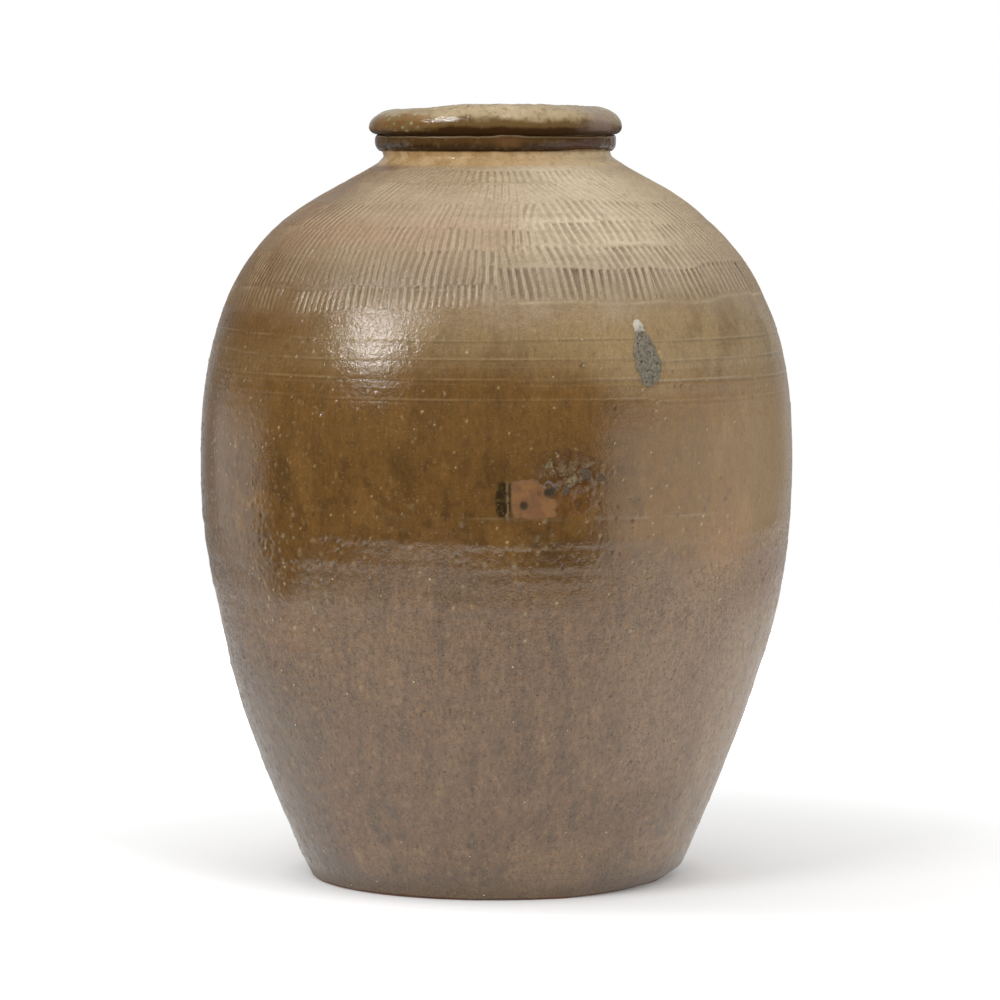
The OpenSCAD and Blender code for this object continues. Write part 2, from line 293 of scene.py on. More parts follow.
def stroke_rows(theta, s, points):
    """Marks of the carved paddle: depth in mm, and the masks of its troughs and of the thin clay
    ridges between them. The trough mask paints pooled glaze and painted shade, darkest at their
    deep upper ends; the ridge mask paints glaze run thin and a painted highlight. A tier is a row
    of blows. In a blow the troughs are parallel, deepest at their upper end, and the blow is
    shifted, turned and pressed in a little differently from its neighbours."""
    depth = np.zeros_like(s)
    trough_pool_and_shade = np.zeros_like(s)
    ridge_thin_glaze_and_highlight = np.zeros_like(s)
    degrees = np.degrees(theta)
    sway = 2.8 * noise(points, 50.0, 41)
    bend = 0.8 * noise(points, 15.0, 44)
    patchy = 0.45 + 0.55 * step(noise(points, 34.0, 42) + 0.5 * noise(points, 11.0, 43), -0.6, 0.35)
    for k, (top, bottom, start, end, deep, pitch, lean, share, lips) in enumerate(TIERS):
        s0, s1 = along_at(bottom), along_at(top)
        if s.max() < s0 - 6.0 or s.min() > s1 + 6.0:
            continue
        r = float(np.interp((s0 + s1) / 2, ALONG, OUTLINE[:, 0]))
        blows = int(round(2 * math.pi * r / PADDLE_W))
        rng = np.random.default_rng(300 + k)
        lift = rng.uniform(-2.8, 2.8, blows)
        turn = lean + rng.uniform(-0.12, 0.12, blows)
        force = rng.uniform(0.78, 1.15, blows)
        pitch = pitch * rng.uniform(0.9, 1.12, blows)
        width = share + rng.uniform(-0.05, 0.05, blows)
        offset = rng.uniform(0.0, 1.0, blows)
        around = (theta / (2 * math.pi) + 0.5 + 0.37 * k) * blows
        which = np.floor(around).astype(int) % blows
        inside = (around - np.floor(around) - 0.5) * 2 * math.pi * r / blows
        up = s - (s0 + s1) / 2 - lift[which] - sway
        half = (s1 - s0) / 2
        across = inside + up * turn[which] + bend
        phase = across / pitch[which] + offset[which]
        # Each stroke of a blow has its own width, strength and length
        each = np.floor(phase) * 7.3 + which * 3.1
        own_force = 0.86 + 0.20 * np.sin(each * 2.7 + 1.3 * k)
        own_half = half * (0.93 + 0.09 * np.sin(each * 4.1))
        phase = np.abs(phase - np.floor(phase) - 0.5)
        wide = width[which] + 0.035 * np.sin(each * 5.3)
        trough = step(phase, wide + 0.09, wide - 0.05)
        ridge = bell(phase - wide - 0.12, 0.09)
        below_top = half - up
        length = step(below_top, -0.5, 0.9) * step(up, -own_half - 0.5, -own_half + 3.0)
        sector = 1.0
        if start > -179:
            sector = sector * step(degrees + 0.5 * sway, start - 1.5, start + 1.5)
        if end < 179:
            sector = sector * step(degrees + 0.5 * sway, end + 1.5, end - 1.5)
        pressed = sector * force[which] * patchy * own_force
        fall = 0.50 + 0.85 * np.exp(-np.maximum(below_top, 0.0) / 4.5)
        lip = lips * (bell(up + half + 0.6, 1.1) + 0.5 * bell(below_top + 1.4, 0.9))
        here = pressed * (deep * trough * length * fall - 0.22 * ridge * length - 0.20 * lip)
        depth = np.where(np.abs(here) > np.abs(depth), here, depth)
        # Colour masks: the troughs darken for pooled glaze and painted shade, most at their deep upper ends,
        # and the ridges and lips go pale for glaze run thin and a painted highlight
        ink = min(1.0, 0.32 + 0.70 * deep)
        dark = ink * np.minimum(pressed, 1.0) * trough * length * np.minimum(fall, 1.0)
        trough_pool_and_shade = np.maximum(trough_pool_and_shade, dark)
        pale = np.maximum(ridge * length, 0.8 * lip)
        ridge_thin_glaze_and_highlight = np.maximum(ridge_thin_glaze_and_highlight, np.minimum(pressed, 1.0) * pale)
    return depth, trough_pool_and_shade, ridge_thin_glaze_and_highlight


RINGS = [UPPER_SEAM - 14.0 - 15.5 * i for i in range(4)]


def ring_cuts(theta, s, points):
    """The four incised rings: depth in mm, and the masks of the cut, for painted shade, and of the
    thin burr on it, for thin glaze and a painted highlight.
    The lines rise at the left, and step down where the turner met the start of the line."""
    depth = np.zeros_like(s)
    cut = np.zeros_like(s)
    burr = np.zeros_like(s)
    degrees = np.degrees(theta)
    rise = 3.2 * (step(-degrees, 38.0, 80.0) - step(-degrees, 110.0, 170.0))
    rise = rise - 2.2 * (step(degrees, 29.0, 33.0) - step(degrees, 140.0, 175.0))
    for i, z in enumerate(RINGS):
        wander = 0.7 * np.sin(theta * 2 + i) + 0.5 * np.sin(theta * 5 + 2.1 * i)
        line = s - along_at(z) - wander - rise - 0.35 * noise(points, 18.0, 65 + i)
        force = (0.45 + 0.55 * step(noise(points, 60.0, 60 + i), -0.7, 0.3)) * (0.9 if i < 3 else 0.5)
        force = force * (1.0 - 0.45 * step(-degrees, 20.0, 45.0))
        for at, strength in ((0.0, 1.0), (-4.4 - 2.0 * i * (i < 2), 0.25)):
            here = force * strength
            depth += here * (0.26 * bell(line - at + 0.9, 0.8) - 0.20 * bell(line - at - 0.5, 0.7))
            cut = np.maximum(cut, here * bell(line - at + 1.0, 0.8))
            burr = np.maximum(burr, here * bell(line - at - 0.4, 0.55))
    return depth, cut, burr


def spots(theta, s, count, span, radius, height, seed, lean=0.0):
    """Round lumps, or pits where the height is negative, at random places: each is a bell with
    its own radius and height. lean is the share that lies on the left side of the jar."""
    rng = np.random.default_rng(seed)
    at_s = rng.uniform(*span, count)
    at_t = rng.uniform(-math.pi, math.pi, count)
    if lean:
        at_t = np.where(rng.uniform(0, 1, count) < lean, rng.uniform(-2.2, -0.6, count), at_t)
    rad = radius[0] + (radius[1] - radius[0]) * rng.uniform(0, 1, count) ** 2
    high = rng.uniform(*height, count)
    out = np.zeros_like(s)
    row_s = s.mean(axis=1)
    first = theta[0, 0]
    d_t = theta[0, 1] - first
    n = theta.shape[1]
    for a, b, c, h in zip(at_s, at_t, rad, high):
        i0, i1 = np.searchsorted(row_s, [a - 2.6 * c, a + 2.6 * c])
        if i1 <= i0:
            continue
        r = float(np.interp(a, ALONG, OUTLINE[:, 0]))
        reach = int(2.6 * c / (r * d_t)) + 1
        j = int(round((b - first) / d_t))
        cols = np.arange(j - reach, j + reach + 1)
        dx = (cols * d_t + first - b) * r
        dy = s[i0:i1, :1] - a
        out[i0:i1][:, cols % n] += h * np.exp(-(dx[None, :] ** 2 + dy ** 2) / (c * c))
    return out


SCAR_ANGLE = math.radians(7.0)
SCAR_Z = 333.0
SCAR_S = along_at(SCAR_Z)


def scar_marks(theta, s, points):
    """The bare scar and what lies around it, from the distances across and up from its middle:
    the depth in mm, and the masks of bare clay, holes (dark glass, and painted shade in the
    shallow pits), wet crescent, its lip (a painted highlight), amber pool and grit."""
    across = (theta - SCAR_ANGLE) * 243.0
    up = s - SCAR_S
    near = step(np.hypot(across, up), 110.0, 60.0)
    fine = noise(points, 3.4, 72)
    wave = 1.3 * noise(points, 9.0, 71) + 1.0 * fine
    # A rounded block with a flat top, its upper right corner eaten away by the crust
    ragged = 0.035 + 0.05 * step(across, 2.0, 14.0)
    reach = np.maximum(np.abs(across + 0.5) / 18.5, np.abs(up + 1.2) / 15.5)
    reach = 0.8 * reach + 0.2 * np.hypot((across + 0.5) / 18.5, (up + 1.2) / 15.5)
    corner = step(across * 0.72 + up * 0.70 + 2.0 * noise(points, 5.0, 77), 12.5, 9.0)
    bare = step(reach + wave * ragged, 1.04, 0.88) * corner
    pit = bell(np.hypot(across + 8.3, up + 6.3) + 0.5 * fine, 4.6)
    cave_to = np.hypot((across - 11.8) * 1.05, up - 4.6) + 1.4 * noise(points, 4.0, 74) + 0.7 * fine
    cave = bell(np.maximum(cave_to, 0.0), 5.2)
    rim = bell(reach - 1.10, 0.07)
    to_wet = np.hypot((across + 24.3) / 6.6, (up + 1.6) / 16.5) + 0.16 * wave
    crescent = step(to_wet, 1.08, 0.72)
    lip = bell(across + 21.6 + 0.7 * fine, 0.55) * step(np.abs(up + 1.6), 16.0, 13.5)
    pool = step(np.hypot((across - 31.0) / 23.0, (up + 3.0) / 14.0) + 0.10 * wave, 1.08, 0.55)
    bed = step(np.hypot((across - 27.0) / 31.0, (up - 17.0) / 19.0) + 0.12 * wave, 1.05, 0.45)
    dust = bed * step(noise(points, 5.0, 75) + 0.8 * noise(points, 2.6, 76), 0.0, 0.55)
    foam = bed * (0.30 * noise(points, 5.5, 78) + 0.30 * noise(points, 2.8, 79))
    depth = 0.5 * bare * (1.0 + 0.5 * noise(points, 5.0, 73)) + 3.0 * pit + 3.0 * cave
    depth -= 0.12 * rim + 0.25 * pool + 0.34 * dust + foam
    depth += crescent * (0.45 + 0.22 * fine) - 0.45 * lip
    hole = np.maximum(step(pit, 0.40, 0.75), step(cave, 0.34, 0.62))
    marks = {
        "bare": bare, "hole": hole, "wet": crescent, "lip": lip, "pool": pool * (1.0 - bare),
        "dust": dust, "bed": bed * (1.0 - bare),
    }
    return depth * near, {key: np.clip(value * near, 0.0, 1.0) for key, value in marks.items()}


def glaze_depth(theta, s):
    """Depth of the inner face of the glaze bands below the outline: thin at the foot and on the
    neck and rim, thicker over the body, deepest behind the scar's pits."""
    z = np.interp(s, ALONG, OUTLINE[:, 1])
    t = GLAZE_T + 1.9 * step(z, 16.0, 34.0) * (1.0 - step(s, S_NECK - 30.0, S_NECK - 12.0))
    t += 0.4 * step(s, S_NECK - 12.0, S_NECK)
    across = (theta - SCAR_ANGLE) * 243.0
    return t + 3.6 * bell(np.hypot(across, s - SCAR_S), 32.0)


# Raised lines of the lower seam: height, how far they stand out, and the sector in degrees in front
# of which they fade
SEAM_LINES = ((316.0, 0.20, -4.0, 44.0), (294.0, 0.16, -6.0, 22.0))
# Swellings left where the lower seam was beaten shut: height, half width and how far they stand out
SEAM_SWELLS = ((250.0, 9.0, 0.70), (278.0, 5.0, 0.42), (299.0, 5.5, 0.54))


# Blisters on the left of the belly: angle in degrees, height, half width and how far they stand out
BLISTERS = ((-35.1, 394.0, 3.2, 1.1), (-34.4, 361.0, 5.0, 0.4), (-40.0, 372.0, 2.4, 0.6))
# The dark burst bubble above the scar: angle in degrees, height and half width
BURST = (16.4, 436.5, 1.9)


def neck_marks(theta, s, r, z, points):
    """Swelling of the neck, cordon and rim: the lump that lifts the cordon's upper edge in front,
    knobs where the cordon ends at the sides, and the chips along the rim's top."""
    degrees = np.degrees(theta)
    high = step(s, S_NECK - 4.0, S_NECK + 4.0)
    out = 0.30 * noise(points, 34.0, 35) + 0.16 * noise(points, 9.0, 36) + 0.08 * noise(points, 4.0, 39)
    on_cordon = step(z, CORDON_Z0 - 2.0, CORDON_Z0 + 1.0) * step(z, CORDON_Z1 + 1.5, CORDON_Z1 - 1.0)
    on_cordon = on_cordon * step(CORDON_R + 2.0 - r, 0.0, 0.5)
    lump = bell(degrees - 6.0, 7.0)
    edge = bell(z - CORDON_Z1 + 1.0 - 1.2 * lump, 2.4)
    out += on_cordon * (0.6 * lump + 2.0 * lump * step(z, CORDON_Z1 - 1.2, CORDON_Z1 - 0.2))
    out += on_cordon * edge * (0.5 + 0.25 * np.sin(theta * 9 + 2 * np.sin(theta * 5)))
    out += on_cordon * (1.8 * bell(degrees - 82.0, 10.0) + 1.2 * bell(degrees + 84.0, 10.0))
    out += on_cordon * (0.5 * noise(points, 12.0, 48) + 0.3 * noise(points, 5.0, 49))
    out -= on_cordon * (0.7 * bell(degrees + 68.0, 4.0) + 0.7 * step(degrees, 20.0, 60.0))
    top = step(z, JAR_H - 7.0, JAR_H - 1.0)
    worn = step(noise(points, 30.0, 37), 0.0, 0.7)
    worn = worn + 0.55 * noise(points, 8.0, 38) + 0.5 * noise(points, 4.0, 40)
    out -= 0.8 * top * np.maximum(worn, -0.2)
    return high * out


def glaze_surface(theta, s):
    """The glazed surface over the angles theta and the distances s along the outline: points in
    mm, their colours and the fields that the material reads."""
    r, z, nr, nz = on_outline(s)
    flat = place(theta, r, z)
    body = 1.0 - step(s, S_NECK - 10.0, S_NECK)
    turn = np.degrees(theta)
    sag = 30.0 * bell(turn - 12.0, 15.0) * step(turn, 34.0, 24.0) + 40.0 * bell(turn + 47.0, 8.0)
    low = step(z + 14.0 * noise(flat, 40.0, 18) + sag, 306.0, 250.0)
    up = step(z, 470.0, 480.0) * body
    strokes, trough, ridge = stroke_rows(theta, s, flat)
    rings, cut, burr = ring_cuts(theta, s, flat)
    scar, marks = scar_marks(theta, s, flat)
    out = 0.04 * noise(flat, 22.0, 11) + 0.03 * noise(flat, 9.0, 12)
    out += low * (0.18 * noise(flat, 11.0, 13) + 0.14 * noise(flat, 5.0, 14))
    out += up * (0.12 * noise(flat, 14.0, 15) + 0.07 * noise(flat, 5.0, 16))
    rippled = bell(z - 452.0, 34.0) * body
    out += rippled * (0.10 * noise(flat, 6.5, 19) + 0.05 * noise(flat, 3.4, 20))
    # Beaten bands that run round the jar, lines left by the wet cloth, and runs down the glaze
    round_way = np.stack([np.sin(theta) * 90.0, np.cos(theta) * 90.0, s], axis=-1)
    out += 0.12 * body * noise(round_way, 7.0, 21, (12.0, 12.0, 1.0))
    out += 0.16 * body * noise(round_way, 24.0, 22, (4.0, 4.0, 1.0))
    cloth = noise(round_way, 2.6, 25, (30.0, 30.0, 1.0))
    out += 0.05 * cloth * step(z, 395.0, 420.0) * body * (1.0 - 0.6 * up)
    out += 0.05 * low * noise(flat, 2.8, 17)
    runs = layered(flat, 16.0, 23, 2, (1.0, 1.0, 9.0))
    out += 0.20 * runs * low
    out -= strokes + rings * body + scar
    # The raised lines of the lower seam, and the broken wavy glaze just below them
    seam = np.zeros_like(s)
    degrees = np.degrees(theta)
    for zz, tall, start, end in SEAM_LINES:
        line = s - along_at(zz) - 0.8 * np.sin(theta * 3 + zz) - 0.5 * noise(flat, 40.0, 24)
        force = step(degrees, start - 4.0, start + 4.0) * step(degrees, end + 8.0, end - 6.0)
        force = np.maximum(force, 0.8 * step(np.abs(degrees), 120.0, 140.0))
        force = (0.12 + 0.88 * force) * step(noise(flat, 22.0, int(zz)), -0.75, 0.1)
        out += tall * force * (bell(line, 0.7) - 0.7 * bell(line + 2.0, 1.0))
        seam = np.maximum(seam, force * bell(line, 0.65))
    swollen = 1.0 - 0.6 * step(degrees, -2.0, 8.0)
    for zz, wide, tall in SEAM_SWELLS:
        line = s - along_at(zz) - 1.6 * np.sin(theta * 2 + zz) - 2.2 * noise(flat, 60.0, 28)
        out += tall * bell(line, wide) * (1.0 + 0.5 * noise(flat, 45.0, 30)) * swollen
    for angle, zz, wide, tall in BLISTERS:
        near = np.hypot((theta - math.radians(angle)) * 245.0, s - along_at(zz))
        out += tall * bell(near, wide)
    broken = bell(z - 280.0, 30.0)
    broken = broken * swollen
    out += broken * (0.22 * noise(round_way, 4.5, 26, (4.0, 4.0, 1.0)) + 0.17 * noise(flat, 4.0, 27))
    middle = along_at(330.0)
    lumps = spots(theta, s, 3600, (20.0, middle), (0.8, 2.2), (0.12, 0.50), 31, 0.30)
    lumps += spots(theta, s, 900, (middle, along_at(470.0)), (0.8, 1.5), (0.12, 0.50), 32, 0.35)
    grit = spots(theta, s, 520, (along_at(215.0), along_at(450.0)), (0.7, 1.15), (0.22, 0.50), 37, 0.30)
    pits = spots(theta, s, 1500, (20.0, along_at(350.0)), (0.9, 2.0), (0.15, 0.6), 33)
    pits += 0.7 * spots(theta, s, 700, (along_at(258.0), along_at(306.0)), (0.7, 1.5), (0.2, 0.6), 29)
    pits += spots(theta, s, 300, (along_at(350.0), S_NECK), (0.8, 1.6), (0.1, 0.5), 34)
    angle, zz, wide = BURST
    pits += bell(np.hypot((theta - math.radians(angle)) * 243.0, s - along_at(zz)), wide)
    out += lumps + grit - pits
    out += neck_marks(theta, s, r, z, flat)
    shape = {
        "theta": theta, "s": s, "r": r, "z": z, "flat": flat, "round_way": round_way, "body": body,
        "low": low, "trough": trough, "ridge": ridge, "cut": cut * body, "burr": burr * body,
        "seam": seam, "lumps": lumps, "pits": pits, "grit": grit, **marks,
    }
    colour, fields = paint(shape)
    return warped(place(theta, r + out * nr, z + out * nz)), colour, fields


# Colour of the glazed surface


def linear(code):
    """sRGB hex to the linear colour that a shader takes."""
    values = [int(code[i:i + 2], 16) / 255 for i in (1, 3, 5)]
    return [v / 12.92 if v <= 0.04045 else ((v + 0.055) / 1.055) ** 2.4 for v in values] + [1.0]


def covered(colour, layers):
    """A field of colours covered in turn by layers of one colour each, as far as its mask says."""
    for code, mask in layers:
        colour = colour + (np.array(linear(code)[:3], np.float32) - colour) * mask[..., None]
    return colour


def paint(shape):
    """Colours of the glaze, and how dull, rough and specked it is, from the shape's masks. It is
    amber where it is thick, greyed and streaked lower down, and pale where ash fell on it."""
    flat, z, s, body = (shape[key] for key in ("flat", "z", "s", "body"))
    low, degrees = shape["low"], np.degrees(shape["theta"])
    cloud = layered(flat, 110.0, 101, 2)
    patch = layered(flat, 32.0, 104, 3)
    mottle = layered(flat, 8.0, 107, 2)
    crumb = layered(flat, 3.6, 108, 2)
    streak = layered(flat, 9.0, 110, 3, (1.0, 1.0, 7.0))
    smear = layered(flat, 20.0, 116, 2, (1.0, 1.0, 3.0))
    bands = layered(shape["round_way"], 8.0, 113, 2, (14.0, 14.0, 1.0))
    left = step(-degrees, 18.0, 52.0)
    right = step(degrees, 2.0, 24.0) * step(degrees, 125.0, 100.0)
    ring_zone = step(z + 7.0 * patch - 20.0 * step(degrees, 25.0, 17.0), 394.0, 448.0) * body
    shoulder = step(z + 6.0 * patch + 5.0 * bands, 462.0, 504.0)
    # Ash fell on the front and the right, and lower down the shoulder there than at the left
    edge = -56.0 + 50.0 * step(z + 3.0 * patch, 504.0, 474.0)
    front = step(degrees + 6.0 * patch, edge - 18.0, edge + 18.0) * step(degrees, 150.0, 100.0)
    ash = shoulder * (0.30 + 0.70 * front) * (0.80 + 0.20 * step(cloud, -0.5, 0.4))
    fair = bell(degrees - 26.0, 28.0) * step(z, 482.0, 516.0)
    khaki = step(degrees + 4.0 * patch, 20.0, 42.0) * step(degrees, 130.0, 90.0) * step(z, 268.0, 320.0)
    lower_right = low * step(degrees + 6.0 * patch, 14.0, 40.0) * step(degrees, 130.0, 90.0)
    khaki = khaki * (1.0 - 0.3 * bell(degrees - 76.0, 12.0))
    far_right = step(degrees, 46.0, 64.0) * step(degrees, 130.0, 100.0)
    upper = 1.0 - low
    middle = step(degrees, 10.0, 2.0)
    foot_ochre = step(z + 20.0 * patch + 6.0 * mottle, 66.0, 30.0) * step(patch + 0.4 * cloud, -0.1, 0.35)
    colour = np.empty(flat.shape, np.float32)
    colour[...] = linear("#6a4b24")[:3]
    colour = covered(colour, [
        ("#543a19", 0.60 * upper * step(mottle, -0.1, 0.7)),
        ("#7f5c2e", 0.55 * upper * step(patch, 0.1, 0.7)),
        ("#4a3517", 0.45 * upper * (1.0 - right) * step(smear, 0.15, 0.7) * step(z, 300.0, 330.0)),
        ("#86592a", 0.14 * upper * step(crumb, 0.2, 0.7)),
        ("#452f14", 0.20 * upper * step(-crumb, 0.2, 0.7)),
        ("#76562d", 0.45 * upper * step(z, 350.0, 385.0)),
        ("#41290f", 0.40 * bell(degrees - 13.0, 9.0) * bell(z - 288.0, 20.0)),
        ("#735537", low),
        ("#836547", 0.50 * low * step(streak, 0.1, 0.7)),
        ("#574430", 0.60 * low * step(-streak, 0.1, 0.7)),
        ("#664a28", 0.70 * low * step(patch + 0.5 * bands, 0.0, 0.6) * step(z, 200.0, 275.0)),
        ("#8c603c", 0.55 * low * bell(degrees + 43.0, 5.0) * step(z, 150.0, 70.0)),
        ("#836748", 0.35 * low * step(cloud, 0.1, 0.7)),
        ("#93673a", 0.35 * low * bell(degrees + 50.0, 12.0) * bell(z - 215.0, 30.0)),
        ("#8d7050", 0.72 * lower_right * step(z, 70.0, 120.0)),
        ("#a58a69", 0.55 * low * far_right * step(z, 250.0, 215.0)),
        ("#6d5233", 0.40 * lower_right * step(-smear, 0.1, 0.6)),
        ("#58422a", 0.55 * low * step(-degrees, 28.0, 50.0) * step(z, 235.0, 170.0)),
        ("#8c7450", 0.14 * low * step(crumb, 0.15, 0.6)),
        ("#4b3a24", 0.24 * low * step(-crumb, 0.15, 0.6)),
        ("#93724a", 0.60 * foot_ochre),
        ("#6e5334", 0.70 * step(z + 9.0 * mottle + 8.0 * patch, 22.0, 4.0)),
        # Darker over the lowest few centimetres: painted shade where the jar meets the floor
        ("#53402b", 0.55 * step(z + 5.0 * mottle, 40.0, 6.0)),
        ("#8d7551", ring_zone),
        ("#6c4c25", 0.92 * ring_zone * left),
        ("#a0865f", 0.85 * ring_zone * right),
        ("#5f4a2a", 0.30 * ring_zone * (1.0 - right) * step(smear, 0.15, 0.7)),
        ("#8b6834", 0.85 * khaki * (1.0 - ring_zone)),
        ("#77582f", 0.30 * khaki * step(mottle, 0.0, 0.8)),
        ("#765a34", 0.45 * khaki * step(smear, 0.1, 0.6)),
        ("#9b7d4c", 0.35 * khaki * step(-smear, 0.1, 0.6)),
        ("#9e7f4e", 0.50 * far_right * step(z, 270.0, 310.0) * step(z, 440.0, 400.0)),
        ("#ae7c40", 0.22 * far_right * step(z, 310.0, 270.0) * step(z, 215.0, 250.0)),
        ("#6d4a26", 0.35 * far_right * bell(z - 262.0, 26.0)),
        ("#b5854a", 0.35 * bell(degrees - 49.0, 8.0) * bell(z - 288.0, 34.0)),
        ("#5f4524", 0.55 * bell(z - 266.0 + 4.0 * patch, 8.0) * middle * step(mottle + crumb, -0.3, 0.4)),
        ("#7d6040", shoulder * (1.0 - 0.6 * right)),
        ("#644a2b", 0.60 * shoulder * step(-degrees, 44.0, 72.0)),
        ("#ab9374", ash),
        ("#a5946f", 0.75 * ash * step(cloud + 0.4 * patch, -0.1, 0.5)),
        ("#b9a080", 0.55 * ash * step(patch, 0.0, 0.6)),
        ("#d4c3a5", 0.90 * ash * fair),
        ("#745a3b", shoulder * step(z, 575.0, 492.0) * (0.40 + 0.26 * step(-degrees, -2.0, 14.0)) * middle),
        ("#745a3b", 0.22 * ash * step(z, 530.0, 500.0) * (1.0 - middle)),
        ("#6b5138", 0.40 * shoulder * bell(z - 504.0, 17.0) * step(degrees, 45.0, 25.0)),
        ("#9c6f4f", 0.42 * ash * bell(z - 538.0, 17.0) * middle),
        ("#8a6a48", 0.24 * ash * bell(z - 564.0, 13.0) * bell(degrees - 10.0, 32.0)),
        ("#7a4f2a", 0.36 * shoulder * step(-degrees, 44.0, 72.0)),
        ("#7a5a38", 0.42 * bell(degrees + 62.0, 15.0) * step(z, 572.0, 584.0)),
        ("#8b7654", 0.35 * shoulder * step(-bands, 0.1, 0.7) * (0.3 + 0.7 * front)),
        ("#8f7a56", 0.25 * shoulder * step(mottle, 0.1, 0.8) * (0.3 + 0.7 * front)),
        ("#6d5536", 0.20 * ash * step(crumb, 0.2, 0.7)),
    ])
    tone = 0.55 + 0.45 * shoulder
    colour = covered(colour, [
        # Pooled glaze and painted shade in the stroke troughs; glaze run thin and a painted highlight on the
        # ridges and lips
        ("#5f492d", 0.86 * shape["trough"] * tone),
        ("#cfbb98", 0.50 * shape["ridge"] * tone),
        # Painted shade in the ring cuts; glaze run thin and a painted highlight on the burrs below them
        ("#4a3720", 0.40 * shape["cut"]),
        ("#b39b74", 0.50 * shape["burr"]),
        # A painted highlight along the crest of the raised seam lines
        ("#a69070", 0.34 * shape["seam"]),
        ("#a38c60", 0.45 * np.clip(shape["lumps"] * 1.8, 0.0, 1.0)),
        ("#cdbb8f", 0.85 * np.clip(shape["grit"] * 2.6 - 0.15, 0.0, 1.0)),
        ("#2f2110", 0.50 * np.clip(shape["pits"] * 1.9, 0.0, 1.0)),
        ("#553617", 0.75 * shape["bed"]),
        ("#67421b", 0.70 * shape["pool"]),
        ("#7c5a34", 0.50 * shape["pool"] * step(crumb, 0.0, 0.5)),
        ("#3f2810", 0.55 * shape["pool"] * step(-mottle, 0.1, 0.6)),
        ("#7d6542", 0.50 * shape["dust"]),
        ("#2c1f0d", 0.90 * shape["wet"]),
        ("#54431f", 0.60 * shape["wet"] * step(crumb, 0.1, 0.6)),
        # A painted highlight on the crescent's raised lip
        ("#9c8a68", 0.60 * shape["lip"]),
        ("#784a14", shape["bare"]),
        ("#875a20", 0.75 * shape["bare"] * step(mottle + 0.5 * crumb, -0.2, 0.5)),
        ("#553515", 0.30 * shape["bare"] * step(-crumb, 0.1, 0.6)),
        # The holes are painted dark: dark glass, and painted shade where the shallow pits would lie in
        # shadow
        ("#33270b", 0.92 * shape["hole"]),
        ("#463612", 0.60 * shape["hole"] * step(crumb, 0.0, 0.6)),
    ])
    colour = paint_neck(colour, shape, mottle, patch, bands, crumb)
    high = step(s, S_NECK, S_NECK + 3.0)
    matt = ash * (0.25 + 0.75 * step(degrees, -8.0, 6.0))
    dull = 0.11 + 0.05 * step(mottle, -0.2, 0.7) + 0.46 * matt * body + 0.10 * low + 0.06 * ring_zone
    dull += 0.10 * khaki * upper + 0.35 * step(z, CORDON_Z1 - 0.5, CORDON_Z1 + 0.5) * step(z, 624.0, 621.0)
    dull += 0.30 * step(z, 18.0, 4.0) + 0.2 * shape["dust"] - 0.04 * shape["wet"]
    dull += 0.60 * shape["bare"] + 0.60 * shape["hole"]
    dull -= 0.10 * shape["trough"] + 0.05 * high + 0.05 * bell(degrees + 58.0, 12.0) * upper
    fields = {
        "dull": np.clip(dull, 0.07, 0.9),
        "bumpy": np.clip(0.18 + 0.82 * low + 0.28 * shoulder + 0.16 * ring_zone - 0.11 * high, 0.0, 1.0),
        "specked": np.clip(
            0.42 + 0.58 * low - 0.25 * (ash + high) - 0.10 * khaki - 0.9 * shape["bare"], 0.0, 1.0
        ),
    }
    return colour, fields


